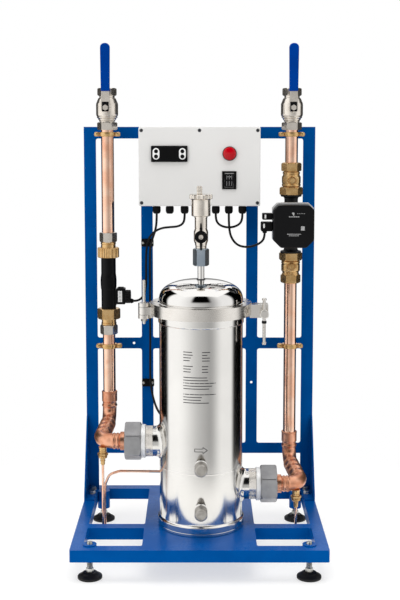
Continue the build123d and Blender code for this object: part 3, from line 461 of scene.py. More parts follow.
# %% Barrel and pulled ports
vessel_x = middle_of("lid_gasket")[0]
vessel_foot = np.array((vessel_x, 0.0, low_of("vessel_shell")[2]))
VESSEL_R = 87.5
rim_rise = (high_of("vessel_shell")[2] - vessel_foot[2]) / MM
barrel_profile = [(0.0, 89.8), (0.5, 90.6), (1.2, 91.0), (6.0, 91.0), (6.6, 90.7), (7.2, 91.0),
                  (18.6, 91.0), (19.8, 90.5), (20.6, 89.2), (21.5, 88.2), (23.0, 87.6), (25.0, 87.5),
                  (129.6, 87.5), (130.2, 87.58), (131.0, 87.65), (131.8, 87.58), (132.4, 87.5),
                  (432.6, 87.5), (434.2, 89.0), (435.4, 89.5), (449.5, 89.5), (451.0, 90.2),
                  (456.2, 97.2), (457.6, 98.0), (rim_rise - 0.4, 98.0), (rim_rise, 97.4)]


def pulled_neck(direction, height, radius, fillet, reach, sides=72):
    """A neck drawn out of the barrel. While its radius falls by a quarter sine from radius + fillet, it
    lifts off the barrel by a quarter cosine, and the barrel's own surface lies at the square root of its
    radius squared less the offset sideways squared. Then it runs straight out to its reach."""
    quarter = np.linspace(0.0, np.pi / 2, 12)
    spread = np.concatenate([radius + fillet * (1 - np.sin(quarter)), [radius, radius]]) * MM
    lift = np.concatenate([fillet * (1 - np.cos(quarter)) - 0.15, [0.0, 0.0]]) * MM
    angle = np.linspace(0.0, 2 * np.pi, sides, endpoint=False)
    first = np.cross(UP, direction)
    sideways = spread[:, None] * np.cos(angle)
    outward = np.sqrt((VESSEL_R * MM) ** 2 - sideways**2) + lift[:, None]
    outward[-2:] = np.array([[reach - 0.8], [reach]]) * MM
    spread_up = spread[:, None] * np.sin(angle)
    middle = np.array((vessel_x, 0.0, height))
    points = (middle + outward[..., None] * direction + sideways[..., None] * first
              + spread_up[..., None] * UP)
    return skin(points, start="open")


NUT_CORNER = 36.0 / np.cos(np.pi / 6) * MM
left_port_z = high_of("port_union_nuts")[2] - NUT_CORNER
right_port_z = low_of("port_union_nuts")[2] + NUT_CORNER
PORTS = ((LEFT, left_port_z), (RIGHT, right_port_z))
PORT_R, PORT_COLLAR, PORT_NUT = 31.75, 116.5, 126.0
shell_parts = [turned(barrel_profile, vessel_foot, UP, 160)]
for away, height in PORTS:
    shell_parts.append(pulled_neck(away, height, PORT_R, 9.0, PORT_COLLAR))
PLUG_R, NECK_REACH = 13.5, 100.0
plug_heights = (low_of("vessel_plugs")[2] + PLUG_R * MM, high_of("vessel_plugs")[2] - PLUG_R * MM)
for height in plug_heights:
    shell_parts.append(pulled_neck(FRONT, height, 10.0, 3.5, NECK_REACH, 40))
probe_way = np.array((PROBE_SIDEWAYS, PROBE_BACK, 0.0))
shell_parts.append(pulled_neck(probe_way, PROBE_Z * MM, 8.0, 2.5, NECK_REACH, 40))
place(build("vessel_barrel", shell_parts, 40.0), "vessel_shell")

# %% Collars and threads of the ports
collar = [(0.0, 31.0), (0.2, 34.2), (1.0, 35.0), (8.7, 35.0), (9.5, 34.2), (9.5, 30.0)]
collar_parts = [turned(collar, (vessel_x + away[0] * PORT_COLLAR * MM, 0.0, height), away, 72)
                for away, height in PORTS]
place(build("port_collars", collar_parts), slot="satin_stainless", finish="pale_seal")
port_thread = [(-0.2, 31.6), *thread(0.0, 15.5, 32.5, 2.3, 0.55), (15.6, 31.6)]
thread_parts = [turned(port_thread, (vessel_x + away[0] * 101.2 * MM, 0.0, height), away, 96)
                for away, height in PORTS]
place(build("port_threads", thread_parts), slot="satin_stainless")
print("ports at", round(left_port_z, 4), round(right_port_z, 4), "plugs at", plug_heights)

# %% [markdown]
# ## Marks on the barrel
#
# A laser etches the flow arrow and a block of data into the polished wall. The
# arrow is a fine wire of a surface laid along its outline on the barrel, and
# the data block is rows of short dashes of uneven length, with nothing to read.

# %% Flow arrow and data rows
def on_barrel(x, z, lift=0.0):
    """Points on the front of the barrel: y is minus the square root of radius squared less x squared."""
    y = -np.sqrt(((VESSEL_R + lift) * MM) ** 2 - (x * MM) ** 2)
    return np.stack([vessel_x + x * MM, y, z * MM + np.zeros_like(x)], axis=-1)


ARROW_Z = 252.0
arrow_corners = np.array([(-13, -3), (4, -3), (4, -6.5), (13, 0), (4, 6.5), (4, 3), (-13, 3)], float)
arrow_ends = np.roll(arrow_corners, -1, axis=0)
share = np.linspace(0.0, 1.0, 12, endpoint=False)[None, :, None]
arrow_line = (arrow_corners[:, None] * (1 - share) + arrow_ends[:, None] * share).reshape(-1, 2)
arrow_path = on_barrel(arrow_line[:, 0], ARROW_Z + arrow_line[:, 1])
place(build("flow_arrow", [swept(arrow_path, 0.65 * MM, 8, closed=True)]),
      slot="polished_stainless", finish="etched_steel")

dashes = np.random.default_rng(7)
row_parts = []
ROW_TOP, ROW_STEP, ROW_COUNT = 455.0, 5.8, 19
for row in range(ROW_COUNT):
    row_z = ROW_TOP - ROW_STEP * row
    if row in (4, 8, 14):
        continue
    if row < 8:
        spans = [(-36.0, dashes.uniform(13, 21)), (2.0, dashes.uniform(9, 17))]
    else:
        spans = [(-36.0, dashes.uniform(30, 66))]
    for span_start, span_length in spans:
        x = np.linspace(span_start, span_start + span_length, 14)
        ribbon = np.stack([on_barrel(x, row_z + 0.85, 0.03), on_barrel(x, row_z - 0.85, 0.03),
                           on_barrel(x, row_z - 0.85, -0.5), on_barrel(x, row_z + 0.85, -0.5)], axis=1)
        row_parts.append(skin(ribbon))
place(build("data_rows", row_parts), slot="polished_stainless", finish="etched_steel")
print("data dashes", len(row_parts))

# %% [markdown]
# ## Lid, clamp and plugs
#
# The lid is a pressed dome, polished like a mirror. It is half a superellipse
# turned about the vessel's axis: an ellipse whose sine and cosine are raised to
# a power below one, which flattens the crown and fills the shoulders. A nipple
# rises from the crown out of a small dark ring. The clamp's halves are castings,
# so they keep their CAD shape with softer edges and a duller finish.

# %% Lid
lid_low = low_of("vessel_lid")[2]
lid_foot = np.array((vessel_x, 0.0, lid_low))
DOME_START, DOME_R, DOME_RISE, DOME_FULLNESS, NIPPLE_R = 14.5, 88.0, 44.0, 0.8, 7.0
arc = np.linspace(0.0, np.pi / 2, 90)
arc = arc[DOME_R * np.cos(arc) ** DOME_FULLNESS > NIPPLE_R + 1.5]
dome = [(DOME_START + DOME_RISE * np.sin(t) ** DOME_FULLNESS, DOME_R * np.cos(t) ** DOME_FULLNESS)
        for t in arc]
nipple_top = (high_of("vessel_lid")[2] - lid_low) / MM
lid_profile = [(0.0, 97.4), (0.4, 98.0), (5.0, 98.0), (6.4, 97.2), (11.2, 90.4), (12.0, 89.0), (12.4, 88.0),
               *dome, (DOME_START + DOME_RISE + 0.3, NIPPLE_R + 0.6),
               (DOME_START + DOME_RISE + 1.2, NIPPLE_R), (nipple_top, NIPPLE_R)]
place(build("vessel_dome", [turned(lid_profile, lid_foot, UP, 160)], 40.0), "vessel_lid",
      finish="mirror_steel")
# A small dark ring stands round the nipple's foot.
dark_ring_profile = [(57.4, 7.2), (57.8, 9.2), (59.4, 9.4), (60.0, 9.0), (60.2, 7.6), (60.2, 6.8)]
place(build("nipple_dark_ring", [turned(dark_ring_profile, lid_foot, UP, 40)]),
      slot="zinc_steel", finish="dark_screw")

# %% Clamp, its pin, screw and T-bar
place(softened("clamp_rear_casting", "clamp_rear_half", 1.1), "clamp_rear_half")
place(softened("clamp_front_casting", "clamp_front_half", 1.1), "clamp_front_half")
pin_low, pin_high = low_of("clamp_hinge_pin"), high_of("clamp_hinge_pin")
pin_foot = np.array((*middle_of("clamp_hinge_pin")[:2], pin_low[2]))
pin_length = (pin_high[2] - pin_low[2]) / MM
pin = [(0.0, 2.2), (0.5, 3.0), (1.2, 3.25), (pin_length - 1.2, 3.25), (pin_length - 0.5, 3.0),
       (pin_length, 2.2)]
pin_nut = [(6.0, 3.2), (6.1, 5.8), (6.5, 6.4), (11.0, 6.4), (11.5, 5.8), (11.6, 3.2)]
place(build("clamp_pivot", [turned(pin, pin_foot, UP, 32), turned(pin_nut, pin_foot, UP, 48, across=11.0)]),
      "clamp_hinge_pin")

screw_front = np.array((middle_of("clamp_screw")[0], low_of("clamp_screw")[1], middle_of("clamp_screw")[2]))
hub = [(0.0, 7.6), (0.5, 8.8), (1.4, 9.5), (7.2, 9.5), (7.6, 9.2), (8.0, 9.5), (16.0, 9.5), (17.0, 8.8),
       (17.5, 7.4)]
shank = [(17.0, 3.4), *thread(17.4, 42.0, 4.0, 1.25, 0.4), (43.0, 2.9)]
place(build("clamp_screw_hub", [turned(hub, screw_front, REAR, 40), turned(shank, screw_front, REAR, 24)]),
      "clamp_screw")

bar_low, bar_high = low_of("clamp_t_bar"), high_of("clamp_t_bar")
bar_foot = np.array((*middle_of("clamp_t_bar")[:2], bar_low[2]))
bar_length = (bar_high[2] - bar_low[2]) / MM
bar = [(0.0, 2.8), (0.4, 3.9), (1.2, 4.6), (4.2, 4.6), (5.0, 4.0), (5.2, 3.25), (bar_length - 5.2, 3.25),
       (bar_length - 5.0, 4.0), (bar_length - 4.2, 4.6), (bar_length - 1.2, 4.6), (bar_length - 0.4, 3.9),
       (bar_length, 2.8)]
place(build("clamp_handle", [turned(bar, bar_foot, UP, 32)]), "clamp_t_bar")
stop_ring = [(45.0, 3.3), (45.0, 4.5), (45.5, 5.0), (50.0, 5.0), (50.5, 4.5), (50.5, 3.3)]
place(build("clamp_handle_stop", [turned(stop_ring, bar_foot, UP, 32, ring=True)]),
      body=body_of["clamp_t_bar"], slot="gasket_rubber")

# %% Plugs in the front of the vessel
plug_profile = [(0.0, 13.0), (0.4, 13.5), (2.2, 13.5), (2.6, 13.1), (3.0, 13.5), (21.4, 13.5), (23.4, 12.6),
                (25.0, 11.0), (26.0, 9.2), (26.0, 7.4), (25.2, 7.0)]
plug_parts = [turned(plug_profile, (vessel_x, -NECK_REACH * MM, height), FRONT, 48, across=26.2)
              for height in plug_heights]
place(build("vessel_drain_plugs", plug_parts), "vessel_plugs", finish="ground_steel")
print("lid crown at", round(lid_low + (DOME_START + DOME_RISE) * MM, 4))

# %% [markdown]
# ## Union nuts and copper
#
# The unions are big six-sided nuts, tumbled to a matt grey. A turned profile
# whose radius is cut off at the flats gives the curved chamfer lines that a
# real nut has. The copper fittings are one swept tube. Its radius changes along
# its length: a raised bead where each fitting's socket ends, and a flared lip
# at the top where the straight riser goes in. Only rigid copper is laid out as
# runs and arcs like this. The cables keep to their own NURBS lines.

# %% Union nuts
port_nut_profile = [(0.0, 35.2), (0.3, 37.6), (1.8, 39.8), (3.2, 40.9), (31.3, 40.9), (32.7, 39.8),
                    (34.2, 37.6), (34.5, 35.0), (34.5, 25.0), (33.6, 23.6), (32.6, 23.0)]
nut_parts = [turned(port_nut_profile, (vessel_x + away[0] * PORT_NUT * MM, 0.0, height), away, 240,
                    across=72.0)
             for away, height in PORTS]
place(build("union_nuts", nut_parts, 24.0), "port_union_nuts")


# %% Copper elbows
def bent(corners, radius, step=1.0):
    """Points along straight runs joined by arcs of one radius, close together, and how far along each is.
    An arc's point is its centre plus the radius along a direction that swings between the runs' normals."""
    corners = np.array(corners, float) * MM
    radius = radius * MM
    pieces = [corners[:1]]
    for before, corner, after in zip(corners, corners[1:], corners[2:]):
        come, leave = corner - before, after - corner
        come, leave = come / np.linalg.norm(come), leave / np.linalg.norm(leave)
        turn = np.arccos(np.clip(come @ leave, -1, 1))
        reach = radius * np.tan(turn / 2)
        inward = (leave - come) / np.linalg.norm(leave - come)
        centre = corner + inward * radius / np.cos(turn / 2)
        start, finish = corner - come * reach, corner + leave * reach
        count = max(int(turn * radius / (step * MM)), 4)
        swing = np.linspace(0.0, turn, count)[:, None]
        out, tangent = (start - centre) / radius, come
        pieces.append(centre + radius * (np.cos(swing) * out + np.sin(swing) * tangent))
    pieces.append(corners[-1:])
    rough = np.vstack(pieces)
    travelled = np.concatenate([[0.0], np.cumsum(np.linalg.norm(np.diff(rough, axis=0), axis=1))])
    keep = np.concatenate([[True], np.diff(travelled) > 1e-7])
    rough, travelled = rough[keep], travelled[keep]
    even = np.linspace(0.0, travelled[-1], int(travelled[-1] / (step * MM)) + 1)
    path = np.stack([np.interp(even, travelled, rough[:, axis]) for axis in range(3)], axis=1)
    return path, even / MM


PIPE_R = 14.0
riser_y = middle_of("copper_pipes")[1]
riser_x = high_of("copper_pipes")[0] - PIPE_R * MM
ELBOW_OUT, ELBOW_R, FITTING_RISE = 213.0, 15.5, 67.0
BEADS = (43.0, 50.5, 100.0, 109.0, 131.0, 140.0, 163.0, 172.0, 194.0, 203.0, 259.0)


def fitting_radius(along):
    """Radius of the fittings: a wide tail inside the union nut, 15.5 mm, a bell-shaped bead at each socket
    end, a neck between a pair of beads, and a wider coupling that flares at its lip."""
    radius = np.full_like(along, ELBOW_R)
    radius += 3.9 * np.clip((38.5 - along) / 1.5, 0.0, 1.0)
    for bead in BEADS:
        radius += 1.9 * np.exp(-(((along - bead) / 2.5) ** 2))
    for first, second in zip(BEADS[2:10:2], BEADS[3:10:2]):
        radius -= 0.5 * np.exp(-(((along - (first + second) / 2) / 3.0) ** 2))
    end = along[-1]
    coupling = (np.clip((along - (end - 25.0)) / 2.0, 0.0, 1.0)
                * np.clip((end - along + 0.6) / 1.2, 0.0, 1.0))
    radius += 1.6 * coupling + 0.5 * np.exp(-(((along - end + 2.5) / 1.6) ** 2))
    return radius * MM


elbow_parts = []
for away, height in PORTS:
    side, height_mm = away[0], height / MM
    corners = [(VESSEL_X + side * (PORT_NUT + 7), 0, height_mm),
               (VESSEL_X + side * ELBOW_OUT, 0, height_mm),
               (side * riser_x / MM, riser_y / MM, height_mm),
               (side * riser_x / MM, riser_y / MM, height_mm + FITTING_RISE)]
    path, along = bent(corners, 30.0)
    elbow_parts.append(swept(path, fitting_radius(along), 40))
place(build("copper_fittings", elbow_parts, 60.0), "copper_elbows", finish="heated_copper")

# %% Straight risers
riser_runs = [(-1, left_port_z + FITTING_RISE * MM, low_of("flow_unions")[2]),
              (-1, high_of("flow_unions")[2], low_of("left_valve_body")[2]),
              (1, right_port_z + FITTING_RISE * MM, low_of("pump_valves")[2]),
              (1, high_of("pump_valves")[2], low_of("right_valve_body")[2])]
SOLDERED_BELOW = 0.35
riser_parts = []
for side, low, high in riser_runs:
    length = (high - low) / MM
    run = [(-4.0, 13.4), (-4.0, 14.0), (length, 14.0), (length + 3.0, 14.0), (length + 3.0, 13.4)]
    solder = [(-0.2, 13.9), (0.1, 15.2), (0.9, 14.6), (1.8, 13.9)]
    riser_parts.append(turned(run, (side * riser_x, riser_y, low), UP, 56))
    if low < SOLDERED_BELOW:
        riser_parts.append(turned(solder, (side * riser_x, riser_y, low), UP, 56, ring=True))
place(build("copper_risers", riser_parts), "copper_pipes")
print("riser runs", [round((high - low) / MM) for side, low, high in riser_runs])

# %% [markdown]
# ## Clips, drain cocks and drain tubes
#
# Cast brass rings hold the risers off the panel. Each is a ring in two halves,
# drawn together by a domed screw at each ear, on a rod and a round foot. The
# drain cocks are turned brass, and thin bent tubes run down from them.

# %% Pipe clips
clip_heights = (low_of("pipe_clips")[2] + 10.0 * MM, high_of("pipe_clips")[2] - 10.0 * MM)
panel_face = high_of("pipe_clips")[1]
clip_parts = []
for side in (-1, 1):
    for height in clip_heights:
        centre = np.array((side * riser_x, riser_y, height))
        band = [(-5.0, 14.1), (-5.0, 16.9), (-4.3, 17.5), (-1.0, 17.9), (1.0, 17.9), (4.3, 17.5),
                (5.0, 16.9), (5.0, 14.1)]
        clip_parts.append(turned(band, centre, UP, 56, ring=True))
        for ear in (-22.5, 22.5):
            ear_back = centre + np.array((ear, 0, 0)) * MM
            for back, thick in ((0.4, 4.6), (-4.9, 4.6)):
                wing = rectangle(13.0, 9.6)
                clip_parts.append(plate(wing, 3.6, thick, 1.2, ear_back + REAR * (thick + back) * MM))
            head = [(4.6, 3.9), (5.0, 4.6), (6.6, 4.4), (7.6, 3.2), (8.0, 1.6)]
            clip_parts.append(turned(head, ear_back, FRONT, 32))
        reach = (panel_face - riser_y) / MM
        stem = [(16.0, 5.6), (22.0, 5.4), (22.6, 4.0), (reach - 3.4, 4.0), (reach - 3.0, 9.4),
                (reach - 2.4, 10.0), (reach - 0.1, 10.0)]
        clip_parts.append(turned(stem, centre, REAR, 32))
place(build("brass_pipe_clips", clip_parts), "pipe_clips")
print("clips", 2 * len(clip_heights))

# %% Drain cocks and tubes
cock_parts, tube_parts = [], []
COCK_X = 205.0 * MM
tube_floor = low_of("drain_tubes")[2]
for away, height in PORTS:
    top = np.array((away[0] * COCK_X, 0.0, height - 19.0 * MM))
    seat = [(-6.0, 8.6), (-3.4, 8.4), (-2.6, 8.0), (2.6, 8.0), (3.0, 7.2), (3.6, 8.0), (6.6, 8.0),
            (7.0, 7.4)]
    hexagon = [(7.0, 9.6), (7.5, 11.4), (11.6, 11.4), (12.2, 10.2)]
    bulb = [(12.2, 8.6), (14.0, 9.6), (16.6, 9.4), (18.6, 7.4), (19.4, 5.2), (22.0, 5.0), (22.6, 5.6),
            (24.0, 5.6), (24.6, 4.8), (31.6, 4.6), (33.0, 3.6)]
    cock_parts += [turned(seat, top, DOWN, 40), turned(hexagon, top, DOWN, 48, across=20.0),
                   turned(bulb, top, DOWN, 40)]
    key = [(0.0, 4.2), (3.4, 4.2), (3.8, 3.6), (9.0, 3.4), (9.6, 2.8)]
    cock_parts.append(turned(key, top + (DOWN * 15.5 + FRONT * 3.0) * MM, FRONT, 24, across=6.4))
    length = (height - 50.0 * MM - tube_floor) / MM
    tube_parts.append(turned([(0.0, 2.75), (length, 2.75), (length, 2.1)],
                             top + DOWN * 31.0 * MM, DOWN, 20))
sample_corners = [(VESSEL_X - VESSEL_R, 8, 178), (-170, 9, 178.5), (-192, 10, 171), (-201, 11, 150),
                  (-203, 11, 112), (-202, 11, 60)]
sample_path, _ = bent(sample_corners, 18.0, 2.5)
tube_parts.append(swept(sample_path, 2.75 * MM, 16))
place(build("brass_drain_cocks", cock_parts), "drain_cocks")
place(build("copper_drain_tubes", tube_parts), "drain_tubes")
print("drain tubes", len(tube_parts))

# %% [markdown]
# ## Lever valves
#
# A ball valve tops each riser: a nickel-plated body with a hexagon at each end,
# threaded inside at the top for the system's pipe. The lever is a steel strap
# with a dipped vinyl sleeve. It rides on the body that the joint turns, with
# the nut that holds it, while the valve body stays with the skid.

# %% Valve bodies and levers
body_profile = [(16.6, 16.0), (18.2, 15.6), (19.0, 17.6), (21.0, 18.0), (21.8, 17.2), (22.6, 19.4),
                (25.4, 20.0), (27.0, 22.2), (29.0, 22.8), (30.0, 22.2), (31.6, 23.6), (35.0, 24.2),
                (56.0, 24.2), (59.0, 23.7), (62.0, 22.4), (68.0, 20.0), (70.0, 18.8), (71.0, 17.2),
                (75.4, 16.8)]
low_hexagon = [(0.0, 17.2), (0.6, 20.6), (2.0, 22.3), (15.6, 22.3), (17.0, 20.6), (17.6, 17.4)]
high_hexagon = [(75.0, 15.0), (75.0, 18.6), (76.2, 20.6), (78.0, 21.3), (89.0, 21.3), (91.0, 20.6),
                (92.0, 18.6), (92.0, 16.6), (91.2, 15.6), (89.0, 15.2), (87.8, 14.6), (86.6, 15.2),
                (85.4, 14.6), (84.2, 15.2), (83.0, 14.6), (81.8, 15.2), (80.6, 14.6), (79.4, 15.2),
                (78.0, 14.6)]
STEM_HEIGHT, LEVER_BACK = 49.0, 128.0
waterway = [(73.5, 15.6), (75.5, 15.6), (76.0, 15.0), (74.0, 12.6)]
for word, side in (("left", -1), ("right", 1)):
    axis_point = np.array((side * riser_x, riser_y, low_of(f"{word}_valve_body")[2]))
    boss = [(20.0, 10.8), (24.0, 10.2), (25.0, 9.2), (33.5, 9.0), (34.6, 8.4), (36.0, 7.0), (36.0, 5.4)]
    valve = [turned(low_hexagon, axis_point, UP, 72, across=39.0), turned(body_profile, axis_point, UP, 72),
             turned(high_hexagon, axis_point, UP, 72, across=37.0, ring=True),
             turned(waterway, axis_point, UP, 48, ring=True),
             turned(boss, axis_point + UP * STEM_HEIGHT * MM, FRONT, 40)]
    place(build(f"{word}_valve_casting", valve), f"{word}_valve_body")
    lever_body = body_of[f"{word}_lever"]
    stem_point = np.array((axis_point[0], riser_y, axis_point[2] + STEM_HEIGHT * MM))
    lever_face = np.array((stem_point[0], LEVER_BACK * MM, stem_point[2]))
    strap_plan = [(-9.4, -9.0), (9.4, -9.0), (9.6, 8.0), (8.4, 40.0), (-8.4, 40.0), (-9.6, 8.0)]
    strap = plate(strap_plan, (5.0, 5.0, 4.0, 2.0, 2.0, 4.0), 3.0, 0.5, lever_face)
    place(build(f"{word}_lever_strap", [strap]), f"{word}_lever")
    sleeve_low, sleeve_high = 35.0, (high_of(f"{word}_lever")[2] - stem_point[2]) / MM
    sleeve_plan = [(-9.6, sleeve_low), (9.6, sleeve_low), (10.5, sleeve_high - 14), (10.5, sleeve_high),
                   (-10.5, sleeve_high), (-10.5, sleeve_high - 14)]
    sleeve = plate(sleeve_plan, (2.6, 2.6, 8.0, 9.4, 9.4, 8.0), 8.0, 2.4, lever_face + REAR * 2.5 * MM)
    place(build(f"{word}_lever_sleeve", [sleeve]), body=lever_body, slot="blue_powder_coat",
          finish="blue_sleeve")
    # A thin black plate behind the stem nut is painted shade: it stands in for the dark recess between the
    # strap's cheeks.
    lever_shade_plate = plate([(-7.4, -8.4), (7.4, -8.4), (7.4, 12.6), (-7.4, 12.6)], 1.2, 1.2, 0.4,
                 lever_face + FRONT * 3.0 * MM)
    place(build(f"{word}_lever_painted_shade", [lever_shade_plate]), body=lever_body, slot="black_plastic")
    stem_nut = [(2.9, 6.2), (3.1, 7.0), (4.0, 7.0), (4.2, 6.4), (4.2, 5.5), (4.4, 6.3), (7.2, 6.3),
                (7.9, 5.4)]
    stem_end = [(7.4, 4.0), (8.4, 4.0), (8.8, 3.4), (8.8, 1.0), (8.5, 0.6)]
    nut = [turned(stem_nut[:4], lever_face, FRONT, 40),
           turned(stem_nut[4:], lever_face, FRONT, 48, across=11.2)]
    place(build(f"{word}_stem_nut", nut), body=lever_body, slot="nickel")
    place(build(f"{word}_stem_end", [turned(stem_end, lever_face, FRONT, 24)]),
          body=lever_body, slot="nickel", finish="dark_screw")
print("levers reach", round(high_of("left_lever")[2], 4))

# %% [markdown]
# ## Flow sensor
#
# The sensor on the left riser is a moulded body between two brass unions, each
# with a plated compression nut on the copper. The upper union nut is round and
# ribbed for a strap wrench, which a wave round the axis gives, and the lower
# one is a hexagon.

# %% Sensor body and unions
sensor_foot = np.array((-riser_x, riser_y, low_of("flow_sensor_body")[2]))
sensor_profile = [(-0.5, 15.4), (0.4, 16.3), (30.0, 16.3), (41.0, 16.4), (44.0, 17.0), (48.0, 17.6),
                  (60.0, 18.0), (70.0, 17.6), (74.0, 16.9), (78.0, 16.4), (113.6, 16.3), (114.5, 15.4)]
socket_plan = rectangle(12.0, 36.0)
socket = plate(socket_plan, 2.0, 18.0, 1.0, sensor_foot + np.array((11.6, 9.0, 24.0)) * MM)
place(build("flow_sensor_shell", [turned(sensor_profile, sensor_foot, UP, 56), socket]), "flow_sensor_body")

union_foot = np.array((-riser_x, riser_y, low_of("flow_unions")[2]))
ribbed = [(173.2, 19.0), (173.4, 22.4), (174.4, 24.0), (194.6, 24.0), (195.8, 22.4), (196.0, 18.6)]
upper_neck = [(195.5, 16.4), (203.0, 16.2), (204.0, 17.0), (206.5, 17.0), (208.5, 15.6)]
lower_nut = [(34.8, 20.4), (35.2, 23.6), (37.0, 25.8), (56.6, 25.8), (58.4, 23.8), (59.0, 20.2),
             (59.0, 17.0)]
lower_neck = [(21.5, 15.6), (22.6, 17.0), (26.0, 17.0), (27.0, 16.2), (35.2, 16.2)]
brass_unions = [turned(ribbed, union_foot, UP, 144, flutes=(24, 0.045)),
                turned(upper_neck, union_foot, UP, 48),
                turned(lower_nut, union_foot, UP, 72, across=45.0), turned(lower_neck, union_foot, UP, 48)]
place(build("flow_union_nuts", brass_unions, 24.0), "flow_unions")
lower_compression = [(0.0, 15.2), (0.4, 17.6), (1.6, 19.6), (17.6, 19.8), (20.4, 19.0), (21.8, 17.2),
                     (22.0, 15.8)]
upper_compression = [(208.0, 15.8), (208.2, 17.4), (209.6, 19.4), (212.4, 19.7), (227.6, 19.7),
                     (229.2, 18.2), (230.0, 15.2)]
compression = [turned(lower_compression, union_foot, UP, 72, across=34.5),
               turned(upper_compression, union_foot, UP, 72, across=34.0)]
place(build("flow_compression_nuts", compression, 24.0), slot="nickel")

# %% Connector on the sensor
plug_low, plug_high = low_of("sensor_connector"), high_of("sensor_connector")
plug_back = np.array((plug_low[0] + 10.0 * MM, plug_high[1] - 5.0 * MM, (plug_low[2] + plug_high[2]) / 2))
shell = plate(rectangle(20.0, 36.0), 2.0, 20.0, 1.0, (plug_back[0], riser_y + 10.0 * MM, 530.5 * MM))
cap_profile = [(19.6, 13.4), (20.6, 14.6), (22.0, 15.0), (30.6, 15.0), (31.6, 14.2), (32.0, 12.6)]
cap = turned(cap_profile, (plug_low[0], riser_y, 529.0 * MM), RIGHT, 96, flutes=(16, 0.07))
latch = plate([(-7, 0), (7, 0), (6, 3.4), (-6, 3.4)], 0.8, 9.0, 0.6,
              (plug_back[0], riser_y + 4.5 * MM, 547.4 * MM))
nose = turned([(32.0, 5.6), (33.0, 5.4), (37.4, 4.4), (38.0, 3.4)],
              (plug_low[0], riser_y, 519.0 * MM), RIGHT, 32)
place(build("sensor_plug", [shell, cap, latch, nose]), "sensor_connector")
label = plate(rectangle(9.0, 25.0), 1.0, 0.5, 0.2,
              (plug_back[0] - 1.5 * MM, riser_y - 9.7 * MM, 530.5 * MM))
place(build("sensor_plug_label", [label]), slot="white_plastic")
label_bars = [plate(rectangle(5.4 - 1.3 * (n % 2), 0.8), 0.3, 0.5, 0.1,
                    (plug_back[0] - 1.5 * MM, riser_y - 9.9 * MM, (521.0 + 3.2 * n) * MM))
              for n in range(7)]
place(build("sensor_label_bars", label_bars), slot="black_plastic")
print("sensor body", round((high_of("flow_sensor_body")[2] - sensor_foot[2]) / MM, 1), "mm long")

# %% [markdown]
# ## Circulator pump
#
# A black cast volute stands in the riser, and a moulded motor head faces the
# front. The head's plan is a rectangle with its corners cut off. A band of bare
# aluminium casting shows behind the cover as a thin bright rim.

# %% Volute, housing and cover
pump_z = 695.0 * MM
pump_back = np.array((riser_x, 0.0, pump_z))
port_foot = np.array((riser_x, riser_y, low_of("pump_volute")[2]))
span = (high_of("pump_volute")[2] - port_foot[2]) / MM
volute = [(147.8, 38.0), (148.4, 40.0), (176.0, 40.0), (181.0, 39.0), (185.4, 36.4), (187.4, 33.4),
          (188.0, 30.0)]
port = [(0.0, 22.0), (0.5, 23.0), (3.6, 23.0), (4.4, 22.2), (5.6, 17.0), (8.0, 15.4), (12.0, 15.0),
        (span - 12.0, 15.0), (span - 8.0, 15.4), (span - 5.6, 17.0), (span - 4.4, 22.2), (span - 3.6, 23.0),
        (span - 0.5, 23.0), (span, 22.0)]
place(build("pump_casting", [turned(volute, pump_back, REAR, 96), turned(port, port_foot, UP, 56)]),
      "pump_volute")


def head_plan(width, height, low_cut, high_cut):
    """A rectangle with its two low and two high corners cut off, anticlockwise."""
    w, h = width / 2, height / 2
    return [(-w + low_cut, -h), (w - low_cut, -h), (w, -h + low_cut), (w, h - high_cut), (w - high_cut, h),
            (-w + high_cut, h), (-w, h - high_cut), (-w, -h + low_cut)]


HEAD_FRONT, HEAD_BACK = low_of("pump_motor")[1] / MM, high_of("pump_motor")[1] / MM
cover_at = np.array((riser_x, (HEAD_FRONT + 26.0) * MM, pump_z - 1.6 * MM))
cover = [plate(head_plan(88.6, 92.4, 16.6, 10.6), 7.0, 25.7, 3.2, cover_at),
         plate(head_plan(66.0, 68.0, 12.0, 9.0), 6.0, 0.6, 0.4, cover_at + FRONT * 25.3 * MM),
         plate(head_plan(82.0, 88.0, 17.0, 12.0), 4.0, 16.0, 1.0, (riser_x, HEAD_BACK * MM, pump_z))]
place(build("pump_cover", cover), "pump_motor")
rim_plate = plate(head_plan(90.0, 97.0, 17.0, 11.0), 6.0, 16.0, 1.6,
                  (riser_x, (HEAD_FRONT + 42.0) * MM, pump_z))
fins = [plate(rectangle(3.0, 60.0, x), 1.2, 6.0, 0.6, (riser_x, (HEAD_FRONT + 46.0) * MM, pump_z))
        for x in (-41.0, 41.0)]
place(build("pump_housing_rim", [rim_plate, *fins]), slot="pump_black", finish="silver_casting")

# %% Marks on the pump's face
print_y = (HEAD_FRONT + 0.3) * MM


def mark(x, z, width, height, fillet=0.3):
    """A thin printed patch on the pump's face, x and z from the pump's middle."""
    return plate(rectangle(width, height), fillet, 0.29, 0.05, (riser_x + x * MM, print_y, pump_z + z * MM))


marks = [mark(-2.0 + 0.6 * n, 28.0 - 2.2 * n, 5.4 - 1.6 * n, 1.3, 0.5) for n in range(3)]
marks += [mark(-9.0 + 4.6 * n, 20.0, 3.8, 1.0) for n in range(5)]
marks += [mark(-13.0 + 4.4 * n, -17.5, 3.4, 0.9) for n in range(7)]
marks += [mark(-9.0 + 4.4 * n, -21.0, 3.2, 0.9) for n in range(5)]
marks += [mark(19.0, -8.5 + 2.3 * n, 8.6 - (n % 2), 1.2) for n in range(4)]
marks += [mark(8.0 + 3.6 * n, 27.0, 2.0, 0.6) for n in range(5)]
place(build("pump_marks", marks), slot="pump_black", finish="print_white")
dimple = [(0.0, 2.3), (0.3, 2.3), (0.6, 1.9), (0.6, 1.2), (0.1, 1.0)]
place(build("pump_bleed_screw", [turned(dimple, (riser_x, (HEAD_FRONT + 0.62) * MM, pump_z), FRONT, 24)]),
      slot="pump_black")

# %% Pump plugs
plugs_low, plugs_high = low_of("pump_plugs"), high_of("pump_plugs")
plug_middle_y = (plugs_low[1] + plugs_high[1]) / 2


